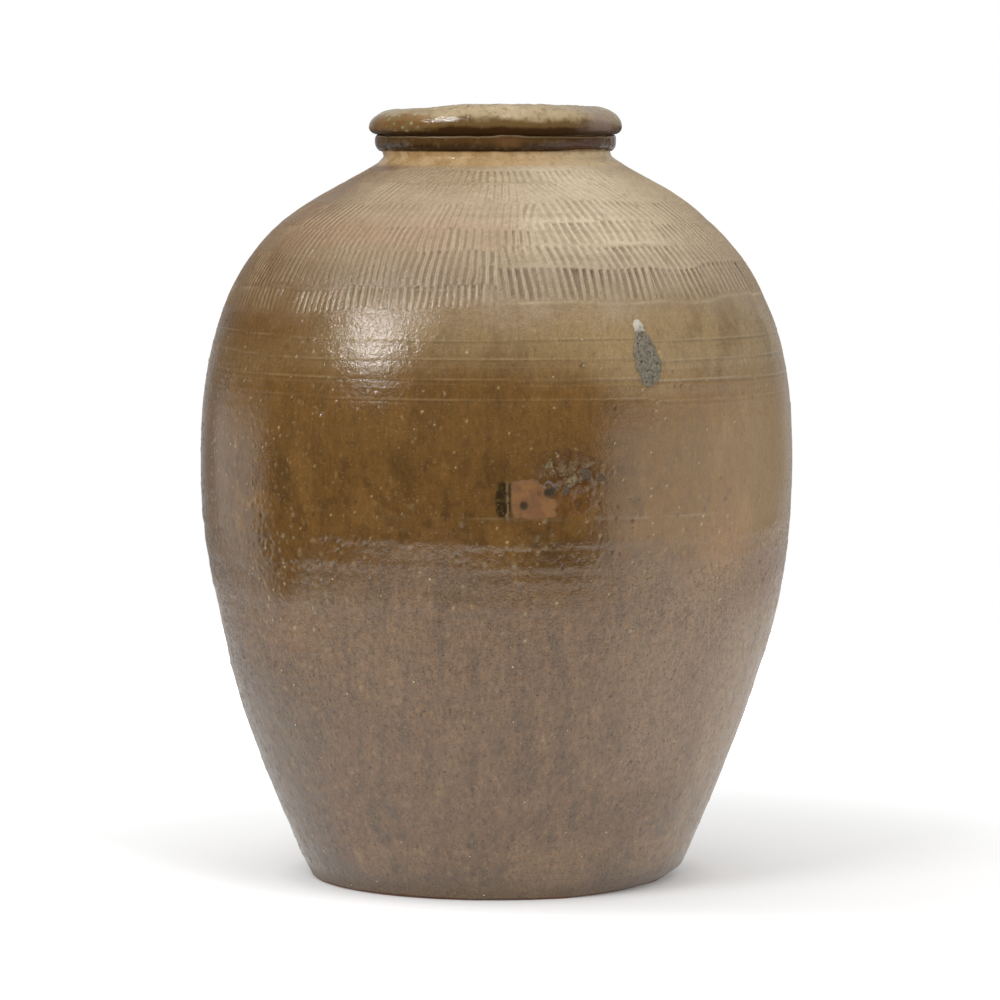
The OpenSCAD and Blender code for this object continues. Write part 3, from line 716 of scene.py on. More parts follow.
def paint_neck(colour, shape, mottle, patch, bands, crumb):
    """Colours from the foot of the neck up: tan under the cordon; a cordon of dark pooled glaze, with
    painted shade on its lower half and the line under it; a pale line along its upper edge, glaze
    worn thin there and a painted highlight; an olive band under the rim, whose rounded underside is
    dark pooled glaze with painted shade; and the rim's pale top, which is orange-brown at the left
    and lilac and ochre at the right."""
    z, r, s = shape["z"], shape["r"], shape["s"]
    degrees = np.degrees(shape["theta"])
    above = step(s, S_NECK - 14.0, S_NECK - 7.0)
    cordon = step(z, CORDON_Z0 - 1.0, CORDON_Z0 + 0.6)
    lump = bell(degrees - 6.0, 7.0)
    line_z = CORDON_Z1 - 1.1 + 0.7 * lump
    # A pale line along the cordon's upper edge: glaze worn thin there, and a painted highlight
    worn_edge_and_highlight = bell(z - line_z, 0.50 - 0.18 * lump) * step(r, CORDON_R - 2.0, CORDON_R - 1.2)
    worn_edge_and_highlight = worn_edge_and_highlight * (0.60 + 0.40 * lump)
    rim = step(z, CORDON_Z1 + 0.2, RIM_Z + 0.4)
    wave = 1.3 * mottle + 2.2 * patch + 1.4 * bands + 0.8 * crumb
    olive = rim * step(z + 0.5 * wave, 620.5, 623.5)
    beige = rim * step(z + 1.2 * wave, 625.0, 631.0)
    left = rim * step(-degrees + 16.0 * patch, 20.0, 40.0)
    lilac = rim * step(degrees + 10.0 * patch, 36.0, 52.0) * step(degrees, 76.0, 62.0)
    ochre = rim * step(degrees + 8.0 * mottle, 60.0, 72.0)
    red = cordon * (1.0 - rim) * step(degrees, 28.0, 42.0) * step(degrees, 62.0, 54.0)
    return covered(colour, [
        ("#bd9e73", above),
        ("#c9ad87", 0.6 * above * step(patch, -0.2, 0.5)),
        ("#c9b592", 0.6 * above * step(degrees, 10.0, 40.0)),
        ("#96703a", 0.45 * above * step(-patch + 0.4 * mottle, 0.0, 0.5) * step(degrees, 12.0, -8.0)),
        ("#84663a", 0.3 * above * step(crumb, 0.1, 0.6)),
        # The cordon is dark pooled glaze with painted shade on its lower half and the line under it; its
        # upper part is painted lighter
        ("#35220e", cordon * step(s, S_NECK - 1.0, S_NECK + 2.0)),
        ("#5e4424", 0.7 * cordon * step(z + 1.5 * mottle, 606.0, 611.0)),
        ("#7a5f3a", 0.25 * cordon * step(crumb, 0.2, 0.7)),
        ("#4a220c", 0.90 * red * bell(z - 607.5, 4.5)),
        ("#6d4d2f", 0.8 * cordon * lump * step(z, 605.0, 608.0)),
        ("#664a3a", 0.50 * cordon * bell(degrees + 82.0, 10.0)),
        ("#85766f", 0.60 * cordon * bell(degrees - 82.0, 8.0)),
        # The painted highlight and thin glaze along the cordon's upper edge
        ("#c0a986", 0.80 * worn_edge_and_highlight * (1.0 - rim)),
        ("#3d260f", rim),
        ("#6a5231", olive),
        ("#ab9672", beige),
        ("#c2af92", 0.6 * beige * step(patch + mottle * 0.5, -0.1, 0.5)),
        ("#7f7049", 0.6 * beige * step(-mottle, 0.2, 0.8)),
        ("#5c4a2e", 0.35 * (olive + beige - olive * beige) * step(-crumb, 0.25, 0.7)),
        ("#7a5831", 0.80 * left * step(z, 616.0, 620.0)),
        ("#6e6645", 0.65 * left * step(crumb + 0.6 * mottle, 0.0, 0.4) * step(z, 617.0, 621.0)),
        ("#8b693f", 0.5 * left * step(-mottle, 0.1, 0.6)),
        ("#a89876", 0.8 * left * step(z + 2.0 * wave, 631.0, 636.0)),
        ("#c4b592", 0.45 * left * step(crumb + 0.5 * mottle, 0.55, 0.9)),
        ("#8b786d", 0.7 * lilac),
        ("#8a6f3c", 0.75 * ochre * step(mottle, -0.3, 0.3)),
        # Painted shade, with dark pooled glaze, on the rim's rounded underside
        ("#3f2811", 0.85 * rim * step(z + 0.4 * mottle, 620.8, 617.8)),
    ])


# Mesh building


def write_mesh(name, points, faces, normals=None, uv=None, fields=None, colour=None):
    """A mesh object from points in mm and one or more arrays of faces, with its own corner
    normals, its own UV map, its point attributes and its colours."""
    faces = faces if isinstance(faces, (list, tuple)) else [faces]
    corners = np.concatenate([f.ravel() for f in faces]).astype(np.int32)
    sizes = np.concatenate([np.full(len(f), f.shape[1]) for f in faces])
    starts = np.concatenate([[0], np.cumsum(sizes)[:-1]]).astype(np.int32)
    mesh = bpy.data.meshes.new(name)
    mesh.vertices.add(len(points))
    mesh.vertices.foreach_set("co", (points * MM).astype(np.float32).ravel())
    mesh.loops.add(len(corners))
    mesh.loops.foreach_set("vertex_index", corners)
    mesh.polygons.add(len(sizes))
    mesh.polygons.foreach_set("loop_start", starts)
    mesh.polygons.foreach_set("use_smooth", np.ones(len(sizes), dtype=bool))
    mesh.update(calc_edges=True)
    for key, values in (fields or {}).items():
        layer = mesh.attributes.new(key, "FLOAT", "POINT")
        layer.data.foreach_set("value", np.asarray(values, np.float32).ravel())
    if colour is not None:
        layer = mesh.attributes.new("colour", "FLOAT_COLOR", "POINT")
        opaque = np.concatenate([colour, np.ones((len(points), 1), colour.dtype)], axis=1)
        layer.data.foreach_set("color", opaque.astype(np.float32).ravel())
    if uv is not None:
        layer = mesh.uv_layers.new(name="OFBake")
        layer.data.foreach_set("uv", np.asarray(uv, np.float32).reshape(-1))
    mesh.validate()
    if normals is not None:
        mesh.normals_split_custom_set(np.asarray(normals, float).reshape(-1, 3).tolist())
    obj = bpy.data.objects.new(name, mesh)
    bpy.context.scene.collection.objects.link(obj)
    return obj


def own(obj, node):
    """Attaches a new piece to the root, and hides the CAD node that it stands for."""
    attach(obj, "root")
    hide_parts(node)
    return obj


def grid_quads(rows, columns, start=0):
    """Quads of a grid that wraps round its columns, turned so that they face outwards."""
    i = np.arange(rows - 1)[:, None] * columns
    j = np.arange(columns)[None, :]
    k = (j + 1) % columns
    return start + np.stack([i + j, i + k, i + columns + k, i + columns + j], axis=-1).reshape(-1, 4)


def surface_normals(grid):
    """Unit normals of a grid that wraps round its columns and has one spare row at each end."""
    down = grid[2:] - grid[:-2]
    side = np.roll(grid, -1, axis=1) - np.roll(grid, 1, axis=1)
    n = np.cross(side[1:-1], down)
    return n / np.linalg.norm(n, axis=-1, keepdims=True)


def folded_uv(rows, columns, share):
    """UV of a wrapped grid cut into four strips that lie one above the other, so that a long
    thin band fills a square map up to the height that share gives."""
    j = np.arange(columns)
    quarter = columns // 4
    strip = j // quarter
    gap = 0.008
    high = share / 4
    v = np.arange(rows) / (rows - 1)
    corners = []
    for right, row in ((0, 0), (1, 0), (1, 1), (0, 1)):
        u = (j % quarter + right) / quarter
        vv = v[row:rows - 1 + row][:, None] + np.zeros(columns)
        vertical = strip * high + gap / 2 + vv * (high - gap)
        corners.append(np.stack([gap + (u + 0 * vv) * (1 - 2 * gap), vertical], axis=-1))
    return np.stack(corners, axis=2).reshape(-1, 4, 2)


def hidden_uv(points, quads):
    """UV of a band's hidden faces: all in a thin strip at the top of the map."""
    turn = np.arctan2(points[quads][..., 0], -points[quads][..., 1])
    turn = turn - 2 * math.pi * np.round((turn - turn[:, :1]) / (2 * math.pi))
    u = 0.02 + 0.96 * np.clip(turn / (2 * math.pi) + 0.5, 0.0, 1.0)
    rank = (points[quads][..., 2] - points[:, 2].min()) / np.ptp(points[:, 2])
    return np.stack([u, 0.935 + 0.055 * rank], axis=-1)


def glaze_band(name, s0, s1, rows, columns, low_edge=None, high_edge=None):
    """A closed thin band of glaze between two distances along the outline. Its outer face is the
    detailed grid, and its inner face has fewer rows. low_edge and high_edge are waves of the
    distance where the glaze ends, for the first and last band."""
    theta = -math.pi + 2 * math.pi * np.arange(columns) / columns
    t = (np.arange(rows + 2) - 1.0) / (rows - 1)
    start = s0 + (low_edge(theta) if low_edge else np.zeros(columns))
    end = s1 + (high_edge(theta) if high_edge else np.zeros(columns))
    s = np.clip(start + (end - start) * t[:, None], 0.0, S_END)
    angles = np.broadcast_to(theta, s.shape)
    grid, colour, fields = glaze_surface(angles, s)
    outer_n = surface_normals(grid)
    # The inner face has every twelfth row and the last
    pick = np.unique(np.append(np.arange(0, rows, 12), rows - 1))
    si = s[1:-1][pick]
    ti = angles[1:-1][pick]
    r, z, nr, nz = on_outline(si)
    deep = glaze_depth(ti, si)
    inner = warped(place(ti, r - deep * nr, z - deep * nz))
    count = rows * columns
    points = np.concatenate([grid[1:-1].reshape(-1, 3), inner.reshape(-1, 3)])
    face = grid_quads(rows, columns)
    j = np.arange(columns)
    k = (j + 1) % columns
    last = (rows - 1) * columns
    last_in = count + (len(pick) - 1) * columns
    hidden = np.concatenate([
        grid_quads(len(pick), columns, count)[:, ::-1],
        np.stack([count + j, count + k, k, j], axis=1),
        np.stack([last + j, last + k, last_in + k, last_in + j], axis=1),
    ])
    a, b, c, d = (points[hidden[:, corner]] for corner in range(4))
    flat_n = np.cross(c - a, d - b)
    flat_n /= np.maximum(np.linalg.norm(flat_n, axis=1, keepdims=True), 1e-12)
    normals = np.concatenate([outer_n.reshape(-1, 3)[face], np.repeat(flat_n[:, None, :], 4, axis=1)])
    uv = np.concatenate([folded_uv(rows, columns, 0.92), hidden_uv(points, hidden)])

    def spread(values):
        """Values of the outer face's points, then those that its inner face takes over."""
        kept = values[1:-1]
        return np.concatenate([kept.reshape(-1, *kept.shape[2:]), kept[pick].reshape(-1, *kept.shape[2:])])

    fields = {key: spread(values) for key, values in fields.items()}
    obj = write_mesh(name, points, np.concatenate([face, hidden]), normals, uv, fields, spread(colour))
    return own(obj, "glaze_coat")


def mark_sharp(obj, degrees):
    """Edges that turn by more than the angle are drawn sharp."""
    obj.data.set_sharp_from_angle(angle=math.radians(degrees))


def hand_marks(points):
    """Unevenness of a hand-worked clay face: shallow dimples from the anvil and the fingers, and
    rings from wiping it round."""
    dimples = 0.9 * noise(points, 46.0, 81) + 0.4 * noise(points, 19.0, 82)
    wiping = 0.35 * noise(points, 7.0, 83, (9.0, 9.0, 1.0))
    return dimples + wiping + 0.12 * noise(points, 4.0, 84)


def turned_grid(loop, columns, rough, shift=None):
    """Grid of a [radius, height] line carried round the axis. rough is each point's share of the
    hand-worked unevenness, in mm, and shift adds mm along the line's outward side."""
    theta = (-math.pi + 2 * math.pi * np.arange(columns) / columns)[None, :]
    side = np.gradient(loop, axis=0)
    side /= np.maximum(np.linalg.norm(side, axis=1, keepdims=True), 1e-9)
    r, z = loop[:, :1], loop[:, 1:]
    push = rough[:, None] * hand_marks(place(theta, r, z))
    if shift is not None:
        push = push + shift(theta + 0 * push, loop)
    return warped(place(theta, r + push * side[:, 1:], z - push * side[:, :1]))


def closed_ring(name, loop, columns, rough, node, shift=None):
    """A turned shell: a closed loop of [radius, height], counter-clockwise, carried once round the
    axis, so that it closes on itself both ways."""
    wrapped = np.concatenate([loop[-1:], loop, loop[:1]])
    grid = turned_grid(wrapped, columns, np.concatenate([[0.0], rough, [0.0]]), shift)[1:-1]
    j = np.arange(columns)
    k = (j + 1) % columns
    last = (len(loop) - 1) * columns
    quads = np.concatenate([
        grid_quads(len(loop), columns), np.stack([last + j, last + k, k, j], axis=1),
    ])
    obj = write_mesh(name, grid.reshape(-1, 3), quads)
    mark_sharp(obj, 50.0)
    finish_with(own(obj, node), clay_material)


def capped_tube(grid):
    """Points and faces of a grid that wraps round its columns and is closed at both ends by a fan
    of triangles to the middle of its end row."""
    rows, columns = grid.shape[:2]
    points = np.concatenate([
        grid.reshape(-1, 3), grid[0].mean(axis=0, keepdims=True), grid[-1].mean(axis=0, keepdims=True),
    ])
    j = np.arange(columns)
    k = (j + 1) % columns
    last = (rows - 1) * columns
    low = np.stack([k, j, np.full(columns, rows * columns)], axis=1)
    high = np.stack([last + j, last + k, np.full(columns, rows * columns + 1)], axis=1)
    return points, [grid_quads(rows, columns), np.concatenate([low, high])]


def offset_body(depth, z0, z1, spacing):
    """Points of the body's outline, depth mm inside the glazed surface, from height z0 to z1."""
    s = np.linspace(along_at(max(z0 - 25.0, 0.0)), along_at(min(z1 + 25.0, BODY_H - 0.6)), 600)
    r, z, nr, nz = on_outline(s)
    d = depth(s) if callable(depth) else depth
    p = np.stack([r - d * nr, z - d * nz], axis=1)
    zz = np.arange(z0, z1 + spacing * 0.5, spacing)
    zz[-1] = z1
    return np.stack([np.interp(zz, p[:, 1], p[:, 0]), zz], axis=1)


def clay_depth(s):
    """The clay's outer face lies just under the glaze bands' inner face."""
    return glaze_depth(np.full_like(s, math.pi), s) + 0.1


# Materials


def add_node(tree, kind, inputs=None, **settings):
    """Adds a shader node, sets its settings, and sets or links its inputs."""
    made = tree.nodes.new("ShaderNode" + kind)
    for key, value in settings.items():
        setattr(made, key, value)
    for key, value in (inputs or {}).items():
        if isinstance(value, bpy.types.NodeSocket):
            tree.links.new(value, made.inputs[key])
        else:
            made.inputs[key].default_value = value
    return made


def new_tree(owner):
    """The empty node tree of a material or a world."""
    owner.use_nodes = True
    owner.node_tree.nodes.clear()
    return owner.node_tree


def glaze_material(name="wood_ash_glaze", ior=1.7):
    """Wood-ash glaze on stoneware, poured on and fired in a wood kiln: a glassy brown coat that
    pools dark in hollows and breaks pale on edges. Fine grit stands in it as pale and dark specks,
    and its skin has the faint waves of orange peel, which break up what it mirrors."""
    material = bpy.data.materials.new(name)
    tree = new_tree(material)
    where = add_node(tree, "TexCoord").outputs["Object"]
    read = {
        key: add_node(tree, "Attribute", attribute_name=key).outputs["Fac"]
        for key in ("dull", "bumpy", "specked")
    }
    colour = add_node(tree, "Attribute", attribute_name="colour").outputs["Color"]
    # Waves of the skin: the size of a blotch in mm, how much longer it is than wide, and the detail
    waves = {}
    for key, size, long, detail in (
        ("peel", 3.6, 1.0, 2.0), ("grain", 1.5, 1.0, 3.0), ("stain", 3.0, 3.0, 4.0),
    ):
        way = add_node(tree, "Mapping", {"Vector": where, "Scale": (1.0, 1.0, 1.0 / long)}).outputs[0]
        waves[key] = add_node(tree, "TexNoise", {
            "Vector": way, "Scale": 1.0 / (size * MM), "Detail": detail, "Roughness": 0.6,
        }).outputs["Fac"]
    # The stains and the grain lighten and darken the colour, less where ash dulls it
    both = add_node(tree, "Math", {0: waves["stain"], 1: waves["grain"]}, operation="ADD").outputs[0]
    both = add_node(tree, "Math", {0: both, 1: -1.0}, operation="ADD").outputs[0]
    deep = add_node(
        tree, "Math", {0: read["specked"], 1: 0.95, 2: 0.30}, operation="MULTIPLY_ADD"
    ).outputs[0]
    shade = add_node(tree, "Math", {0: both, 1: deep, 2: 1.0}, operation="MULTIPLY_ADD").outputs[0]
    base = add_node(tree, "VectorMath", {0: colour, 3: shade}, operation="SCALE").outputs[0]
    # Specks: spacing and radius in mm, the share of cells that hold one, colour, strength and height
    height = add_node(tree, "Math", {0: waves["peel"], 1: 1.6}, operation="MULTIPLY").outputs[0]
    height = add_node(
        tree, "Math", {0: waves["grain"], 1: 1.0, 2: height}, operation="MULTIPLY_ADD"
    ).outputs[0]
    for spacing, radius, share, code, strength, stands in (
        (3.5, 0.85, 0.45, "#a18a66", 0.42, 1.7),
        (2.9, 0.66, 0.42, "#3a2b18", 0.42, -1.4),
        (15.0, 1.05, 0.22, "#1d1308", 0.65, -1.0),
        (11.0, 0.85, 0.22, "#d8ccaa", 0.90, 1.5),
    ):
        cells = add_node(tree, "TexVoronoi", {"Vector": where, "Scale": 1.0 / (spacing * MM)}).outputs
        dot = add_node(tree, "MapRange", {
            "Value": cells["Distance"],
            "From Min": 1.3 * radius / spacing,
            "From Max": 0.6 * radius / spacing,
        }, interpolation_type="SMOOTHSTEP").outputs["Result"]
        chosen = add_node(tree, "SeparateColor", {0: cells["Color"]}).outputs[0]
        chosen = add_node(tree, "Math", {0: chosen, 1: share}, operation="LESS_THAN").outputs[0]
        mask = add_node(tree, "Math", {0: dot, 1: chosen}, operation="MULTIPLY").outputs[0]
        mask = add_node(tree, "Math", {0: mask, 1: read["specked"]}, operation="MULTIPLY").outputs[0]
        mask = add_node(tree, "Math", {0: mask, 1: strength}, operation="MULTIPLY").outputs[0]
        base = add_node(tree, "Mix", {0: mask, 6: base, 7: linear(code)}, data_type="RGBA").outputs[2]
        height = add_node(tree, "Math", {0: mask, 1: stands, 2: height}, operation="MULTIPLY_ADD").outputs[0]
    bump = add_node(tree, "Bump", {"Height": height, "Strength": read["bumpy"], "Distance": 0.00074})
    shader = add_node(tree, "BsdfPrincipled", {
        "Base Color": base, "Roughness": read["dull"], "Normal": bump.outputs[0], "IOR": ior,
    })
    add_node(tree, "OutputMaterial", {0: shader.outputs[0]})
    return material


def thin_glaze_material():
    """The same glaze where it ran thin, on the neck, the cordon and the rim: it mirrors less."""
    return glaze_material("thin_wood_ash_glaze", 1.45)


def hollow_shade_glaze_material():
    """The same glaze in the hollows under the cordon and the rim, with a low index so that it mirrors
    little, standing in for the shade of the hollows.
    """
    return glaze_material("hollow_shade_wood_ash_glaze", 1.15)


def clay_material():
    """Bare stoneware clay, beaten and wiped by hand and reddened by the fire: dull and sandy, with
    paler and darker flashes."""
    material = bpy.data.materials.new("bare_stoneware")
    tree = new_tree(material)
    where = add_node(tree, "TexCoord").outputs["Object"]
    base = add_node(tree, "RGB").outputs[0]
    base.default_value = linear("#7b563a")
    height = None
    # Blotches: size in mm, how much longer than high, colour and strength
    for size, long, code, strength in (
        (70.0, 1.0, "#74503a", 0.9), (6.0, 10.0, "#9a6a48", 0.5), (1.2, 1.0, "#5c3d28", 0.6),
    ):
        way = add_node(tree, "Mapping", {"Vector": where, "Scale": [1 / long, 1 / long, 1.0]}).outputs[0]
        blotch = add_node(tree, "TexNoise", {
            "Vector": way, "Scale": 1.0 / (size * MM), "Detail": 3.0, "Roughness": 0.6,
        }).outputs["Fac"]
        mask = add_node(tree, "MapRange", {
            "Value": blotch, "From Min": 0.42, "From Max": 0.66, "To Max": strength,
        }).outputs["Result"]
        base = add_node(tree, "Mix", {0: mask, 6: base, 7: linear(code)}, data_type="RGBA").outputs[2]
        height = add_node(tree, "Math", {0: blotch, 1: height or 0.0}, operation="ADD").outputs[0]
    bump = add_node(tree, "Bump", {"Height": height, "Strength": 0.6, "Distance": 0.0006})
    shader = add_node(tree, "BsdfPrincipled", {
        "Base Color": base, "Roughness": 0.82, "Normal": bump.outputs[0], "IOR": 1.5,
    })
    add_node(tree, "OutputMaterial", {0: shader.outputs[0]})
    return material


def slag_material():
    """Kiln slag, dripped from the kiln's roof and frozen on the shoulder: a grey bubbly crust with
    a net of paler veins, dark burst bubbles and a whitened tip."""
    material = bpy.data.materials.new("kiln_slag")
    tree = new_tree(material)
    where = add_node(tree, "TexCoord").outputs["Object"]
    tip = add_node(tree, "Attribute", attribute_name="tip").outputs["Fac"]
    grain = add_node(tree, "TexNoise", {
        "Vector": where, "Scale": 1.0 / (2.0 * MM), "Detail": 3.0, "Roughness": 0.7,
    }).outputs["Fac"]
    cells = add_node(
        tree, "TexVoronoi", {"Vector": where, "Scale": 1.0 / (3.4 * MM)}, feature="DISTANCE_TO_EDGE"
    )
    veins = add_node(tree, "MapRange", {
        "Value": cells.outputs["Distance"], "From Min": 0.16, "From Max": 0.02, "To Max": 0.5,
    }).outputs["Result"]
    holes = add_node(tree, "MapRange", {
        "Value": grain, "From Min": 0.60, "From Max": 0.68, "To Max": 0.9,
    }).outputs["Result"]
    base = add_node(tree, "RGB").outputs[0]
    base.default_value = linear("#5d5546")
    for mask, code in ((grain, "#7c7463"), (veins, "#948a76"), (holes, "#1b1711"), (tip, "#c2baab")):
        base = add_node(tree, "Mix", {0: mask, 6: base, 7: linear(code)}, data_type="RGBA").outputs[2]
    bump = add_node(tree, "Bump", {"Height": grain, "Strength": 0.8, "Distance": 0.0007})
    shader = add_node(tree, "BsdfPrincipled", {
        "Base Color": base, "Roughness": 0.5, "Normal": bump.outputs[0], "IOR": 1.55,
    })
    add_node(tree, "OutputMaterial", {0: shader.outputs[0]})
    return material


CRUST_HUES = (
    (0.0, "#8a7f5f"), (0.2, "#7a5b43"), (0.4, "#68421f"), (0.6, "#715c35"), (0.8, "#5c554c"),
    (1.0, "#655743"),
)


def crust_material():
    """Crust of half-melted grit and shell: chalky lumps of off-white, rust, straw and slate, each
    lump with its own hue and a gritty skin."""
    material = bpy.data.materials.new("pale_kiln_crust")
    tree = new_tree(material)
    where = add_node(tree, "TexCoord").outputs["Object"]
    hue = add_node(tree, "Attribute", attribute_name="hue").outputs["Fac"]
    base = add_node(tree, "RGB").outputs[0]
    base.default_value = linear(CRUST_HUES[0][1])
    for (before, _), (at, code) in zip(CRUST_HUES, CRUST_HUES[1:]):
        mask = add_node(tree, "MapRange", {"Value": hue, "From Min": before, "From Max": at}).outputs[0]
        base = add_node(tree, "Mix", {0: mask, 6: base, 7: linear(code)}, data_type="RGBA").outputs[2]
    grain = add_node(tree, "TexNoise", {
        "Vector": where, "Scale": 1.0 / (1.6 * MM), "Detail": 3.0, "Roughness": 0.7,
    }).outputs["Fac"]
    mask = add_node(tree, "MapRange", {
        "Value": grain, "From Min": 0.40, "From Max": 0.58, "To Max": 0.90,
    }).outputs["Result"]
    base = add_node(tree, "Mix", {0: mask, 6: base, 7: linear("#543818")}, data_type="RGBA").outputs[2]
    bump = add_node(tree, "Bump", {"Height": grain, "Strength": 0.9, "Distance": 0.0008})
    shader = add_node(tree, "BsdfPrincipled", {
        "Base Color": base, "Roughness": 0.35, "Normal": bump.outputs[0], "IOR": 1.35,
    })
    add_node(tree, "OutputMaterial", {0: shader.outputs[0]})
    return material


MATERIALS = {}


def finish_with(obj, maker):
    """Gives a piece its material, made once."""
    if maker not in MATERIALS:
        MATERIALS[maker] = maker()
    obj.data.materials.clear()
    obj.data.materials.append(MATERIALS[maker])


# Pieces


# Height at which the glaze ends over the bare foot
FOOT_EDGE = 2.2


def foot_edge(theta):
    """The glaze's lower edge wanders a few millimetres up and down."""
    p = place(theta, 150.0, 0.0)
    return 0.7 * noise(p, 60.0, 91) + 0.5 * noise(p, 17.0, 92) + 0.4 * noise(p, 6.0, 93)


def throat_edge(theta):
    """The glaze runs down into the throat unevenly."""
    p = place(theta, 90.0, 0.0)
    return 4.0 * noise(p, 40.0, 94) + 2.0 * noise(p, 14.0, 95)


# Bands of glaze on the wall, from the foot up: the height of the upper end, and the rows and columns
# of the outer face
WALL_BANDS = {
    "glaze_foot": (160.0, 66, 1120),
    "glaze_lower": (245.0, 44, 1440),
    "glaze_seam": (320.0, 50, 1440),
    "glaze_belly": (398.0, 52, 1440),
    "glaze_rings": (470.0, 56, 1360),
    "glaze_shoulder_low": (515.0, 52, 1440),
    "glaze_shoulder_mid": (555.0, 52, 1440),
    "glaze_shoulder_top": (592.0, 56, 1280),
}


# Bands on the neck, the cordon and the rim: the distance of the upper end, the rows and columns of
# the outer face, and the material
NECK_BANDS = (
    ("glaze_neck", S_NECK + 0.5, 20, 1040, thin_glaze_material),
    ("glaze_cordon_low", S_GROOVE - 12.5, 28, 960, hollow_shade_glaze_material),
    ("glaze_cordon_high", S_GROOVE, 24, 960, thin_glaze_material),
    ("glaze_rim_under", S_GROOVE + 13.5, 26, 840, hollow_shade_glaze_material),
    ("glaze_rim", S_TOP + 26.0, 78, 840, thin_glaze_material),
)


def build_glaze():
    """All the bands of glaze, from the foot to the throat."""
    low = along_at(FOOT_EDGE)
    for name, (top, rows, columns) in WALL_BANDS.items():
        high = along_at(top)
        edge = foot_edge if name == "glaze_foot" else None
        finish_with(glaze_band(name, low, high, rows, columns, low_edge=edge), glaze_material)
        low = high
    for name, top, rows, columns, maker in NECK_BANDS:
        edge = throat_edge if name == "glaze_rim" else None
        finish_with(glaze_band(name, low, top, rows, columns, high_edge=edge), maker)
        low = top


def wall_loop(z_in0, z_in1, z_out0, z_out1, step_in=4.0, step_out=9.0):
    """Closed loop of a lift of the wall: up the outer face, in over the upper seam, down the
    inner face, and out under the lower seam; with the share of unevenness of each point."""
    outer = offset_body(clay_depth, z_out0, z_out1, step_out)
    inner = offset_body(WALL, z_in0, z_in1, step_in)[::-1]
    rough = np.concatenate([np.zeros(len(outer)), np.ones(len(inner))])
    rough[[len(outer), -1]] = 0.0
    return np.concatenate([outer, inner]), rough


def scar_dip(theta, loop):
    """Clay pushed in behind the scar, as deep as the glaze bands' inner face is there."""
    s = np.interp(loop[:, 1], OUTLINE[:BODY_END, 1], ALONG[:BODY_END])[:, None]
    across = (theta - SCAR_ANGLE) * 243.0
    outside = loop[:, 0] > np.interp(loop[:, 1], OUTLINE[:BODY_END, 1], OUTLINE[:BODY_END, 0]) - 6.0
    return -3.6 * bell(np.hypot(across, s - SCAR_S), 32.0) * outside[:, None]


def build_slab():
    """The slab: a disc whose bare edge is the foot, worn and uneven, with a sandy underside."""
    edge = offset_body(0.8, 0.0, SLAB_EDGE, 1.0)
    corner = [[edge[0, 0] - 2.2, 0.0], [edge[0, 0] - 0.6, 0.5], [edge[1, 0] + 0.1, 1.6]]
    under = np.stack([np.linspace(1.0, edge[0, 0] - 4.0, 34), np.zeros(34)], axis=1)
    inner_r = offset_body(WALL, SLAB_T, SLAB_T + 4.0, 4.0)[0, 0]
    bevel = [[edge[-1, 0] - 3.0, SLAB_EDGE + 1.2], [inner_r, SLAB_T]]
    top = np.stack([np.linspace(inner_r - 4.0, 1.0, 38), np.full(38, SLAB_T)], axis=1)
    loop = np.concatenate([under, corner, edge[2:], bevel, top])
    rough = np.concatenate([
        np.full(34, 0.25), [0.4, 0.7, 0.7], np.full(len(edge) - 2, 0.55), [0.0, 0.0], np.full(38, 0.8),
    ])
    points, faces = capped_tube(turned_grid(loop, 480, rough))
    points[:, 2] = np.maximum(points[:, 2], 0.0)
    obj = write_mesh("clay_base_slab", points, faces)
    mark_sharp(obj, 60.0)
    finish_with(own(obj, "base_slab"), clay_material)


def coil_loop(z):
    """A coil pressed flat over a seam on the inside: a lens on the wall's inner face."""
    wall = offset_body(WALL + 0.05, z - 21.0, z + 21.0, 3.0)
    lens = offset_body(WALL, z - 21.0, z + 21.0, 2.0)[::-1]
    swell = np.sin(np.linspace(0.0, math.pi, len(lens)))
    side = np.gradient(lens, axis=0)
    side /= np.linalg.norm(side, axis=1, keepdims=True)
    lens = lens + 4.0 * swell[:, None] * np.stack([side[:, 1], -side[:, 0]], axis=1)
    return np.concatenate([wall, lens[1:-1]]), np.concatenate([np.zeros(len(wall)), 0.8 * swell[1:-1]])


def build_clay():
    """The lifts, coils, neck and rim of bare clay."""
    build_slab()
    loop, rough = wall_loop(SLAB_T + 0.2, LOWER_SEAM - 11.0, SLAB_EDGE + 0.2, LOWER_SEAM + 11.0)
    closed_ring("clay_lower_wall", loop, 264, rough, "lower_wall")
    loop, rough = wall_loop(LOWER_SEAM - 10.9, UPPER_SEAM - 15.0, LOWER_SEAM + 11.1, UPPER_SEAM + 5.0)
    closed_ring("clay_belly_wall", loop, 264, rough, "belly_wall", scar_dip)
    loop, rough = wall_loop(UPPER_SEAM - 14.9, 588.0, UPPER_SEAM + 5.1, 596.0)
    closed_ring("clay_shoulder", loop, 264, rough, "shoulder_dome")
    for name, z in (("lower_seam_coil", LOWER_SEAM), ("upper_seam_coil", UPPER_SEAM)):
        loop, rough = coil_loop(z)
        closed_ring("clay_" + name, loop, 264, rough, name)
    corner_r = offset_body(WALL, SLAB_T, SLAB_T + 4.0, 4.0)[0, 0]
    wall = offset_body(WALL - 0.1, SLAB_T, SLAB_T + 20.0, 2.0)
    hollow = arc(corner_r - 20.0, SLAB_T + 20.0, 20.0, 0, -90, 14)[1:-1]
    floor = np.stack([np.linspace(corner_r - 20.0, corner_r, 6), np.full(6, SLAB_T)], axis=1)
    loop = np.concatenate([floor, wall[1:], hollow])
    rough = np.concatenate([np.zeros(len(floor) + len(wall) - 1), np.full(len(hollow), 0.7)])
    closed_ring("clay_corner_coil", loop, 264, rough, "corner_coil")
    build_neck()


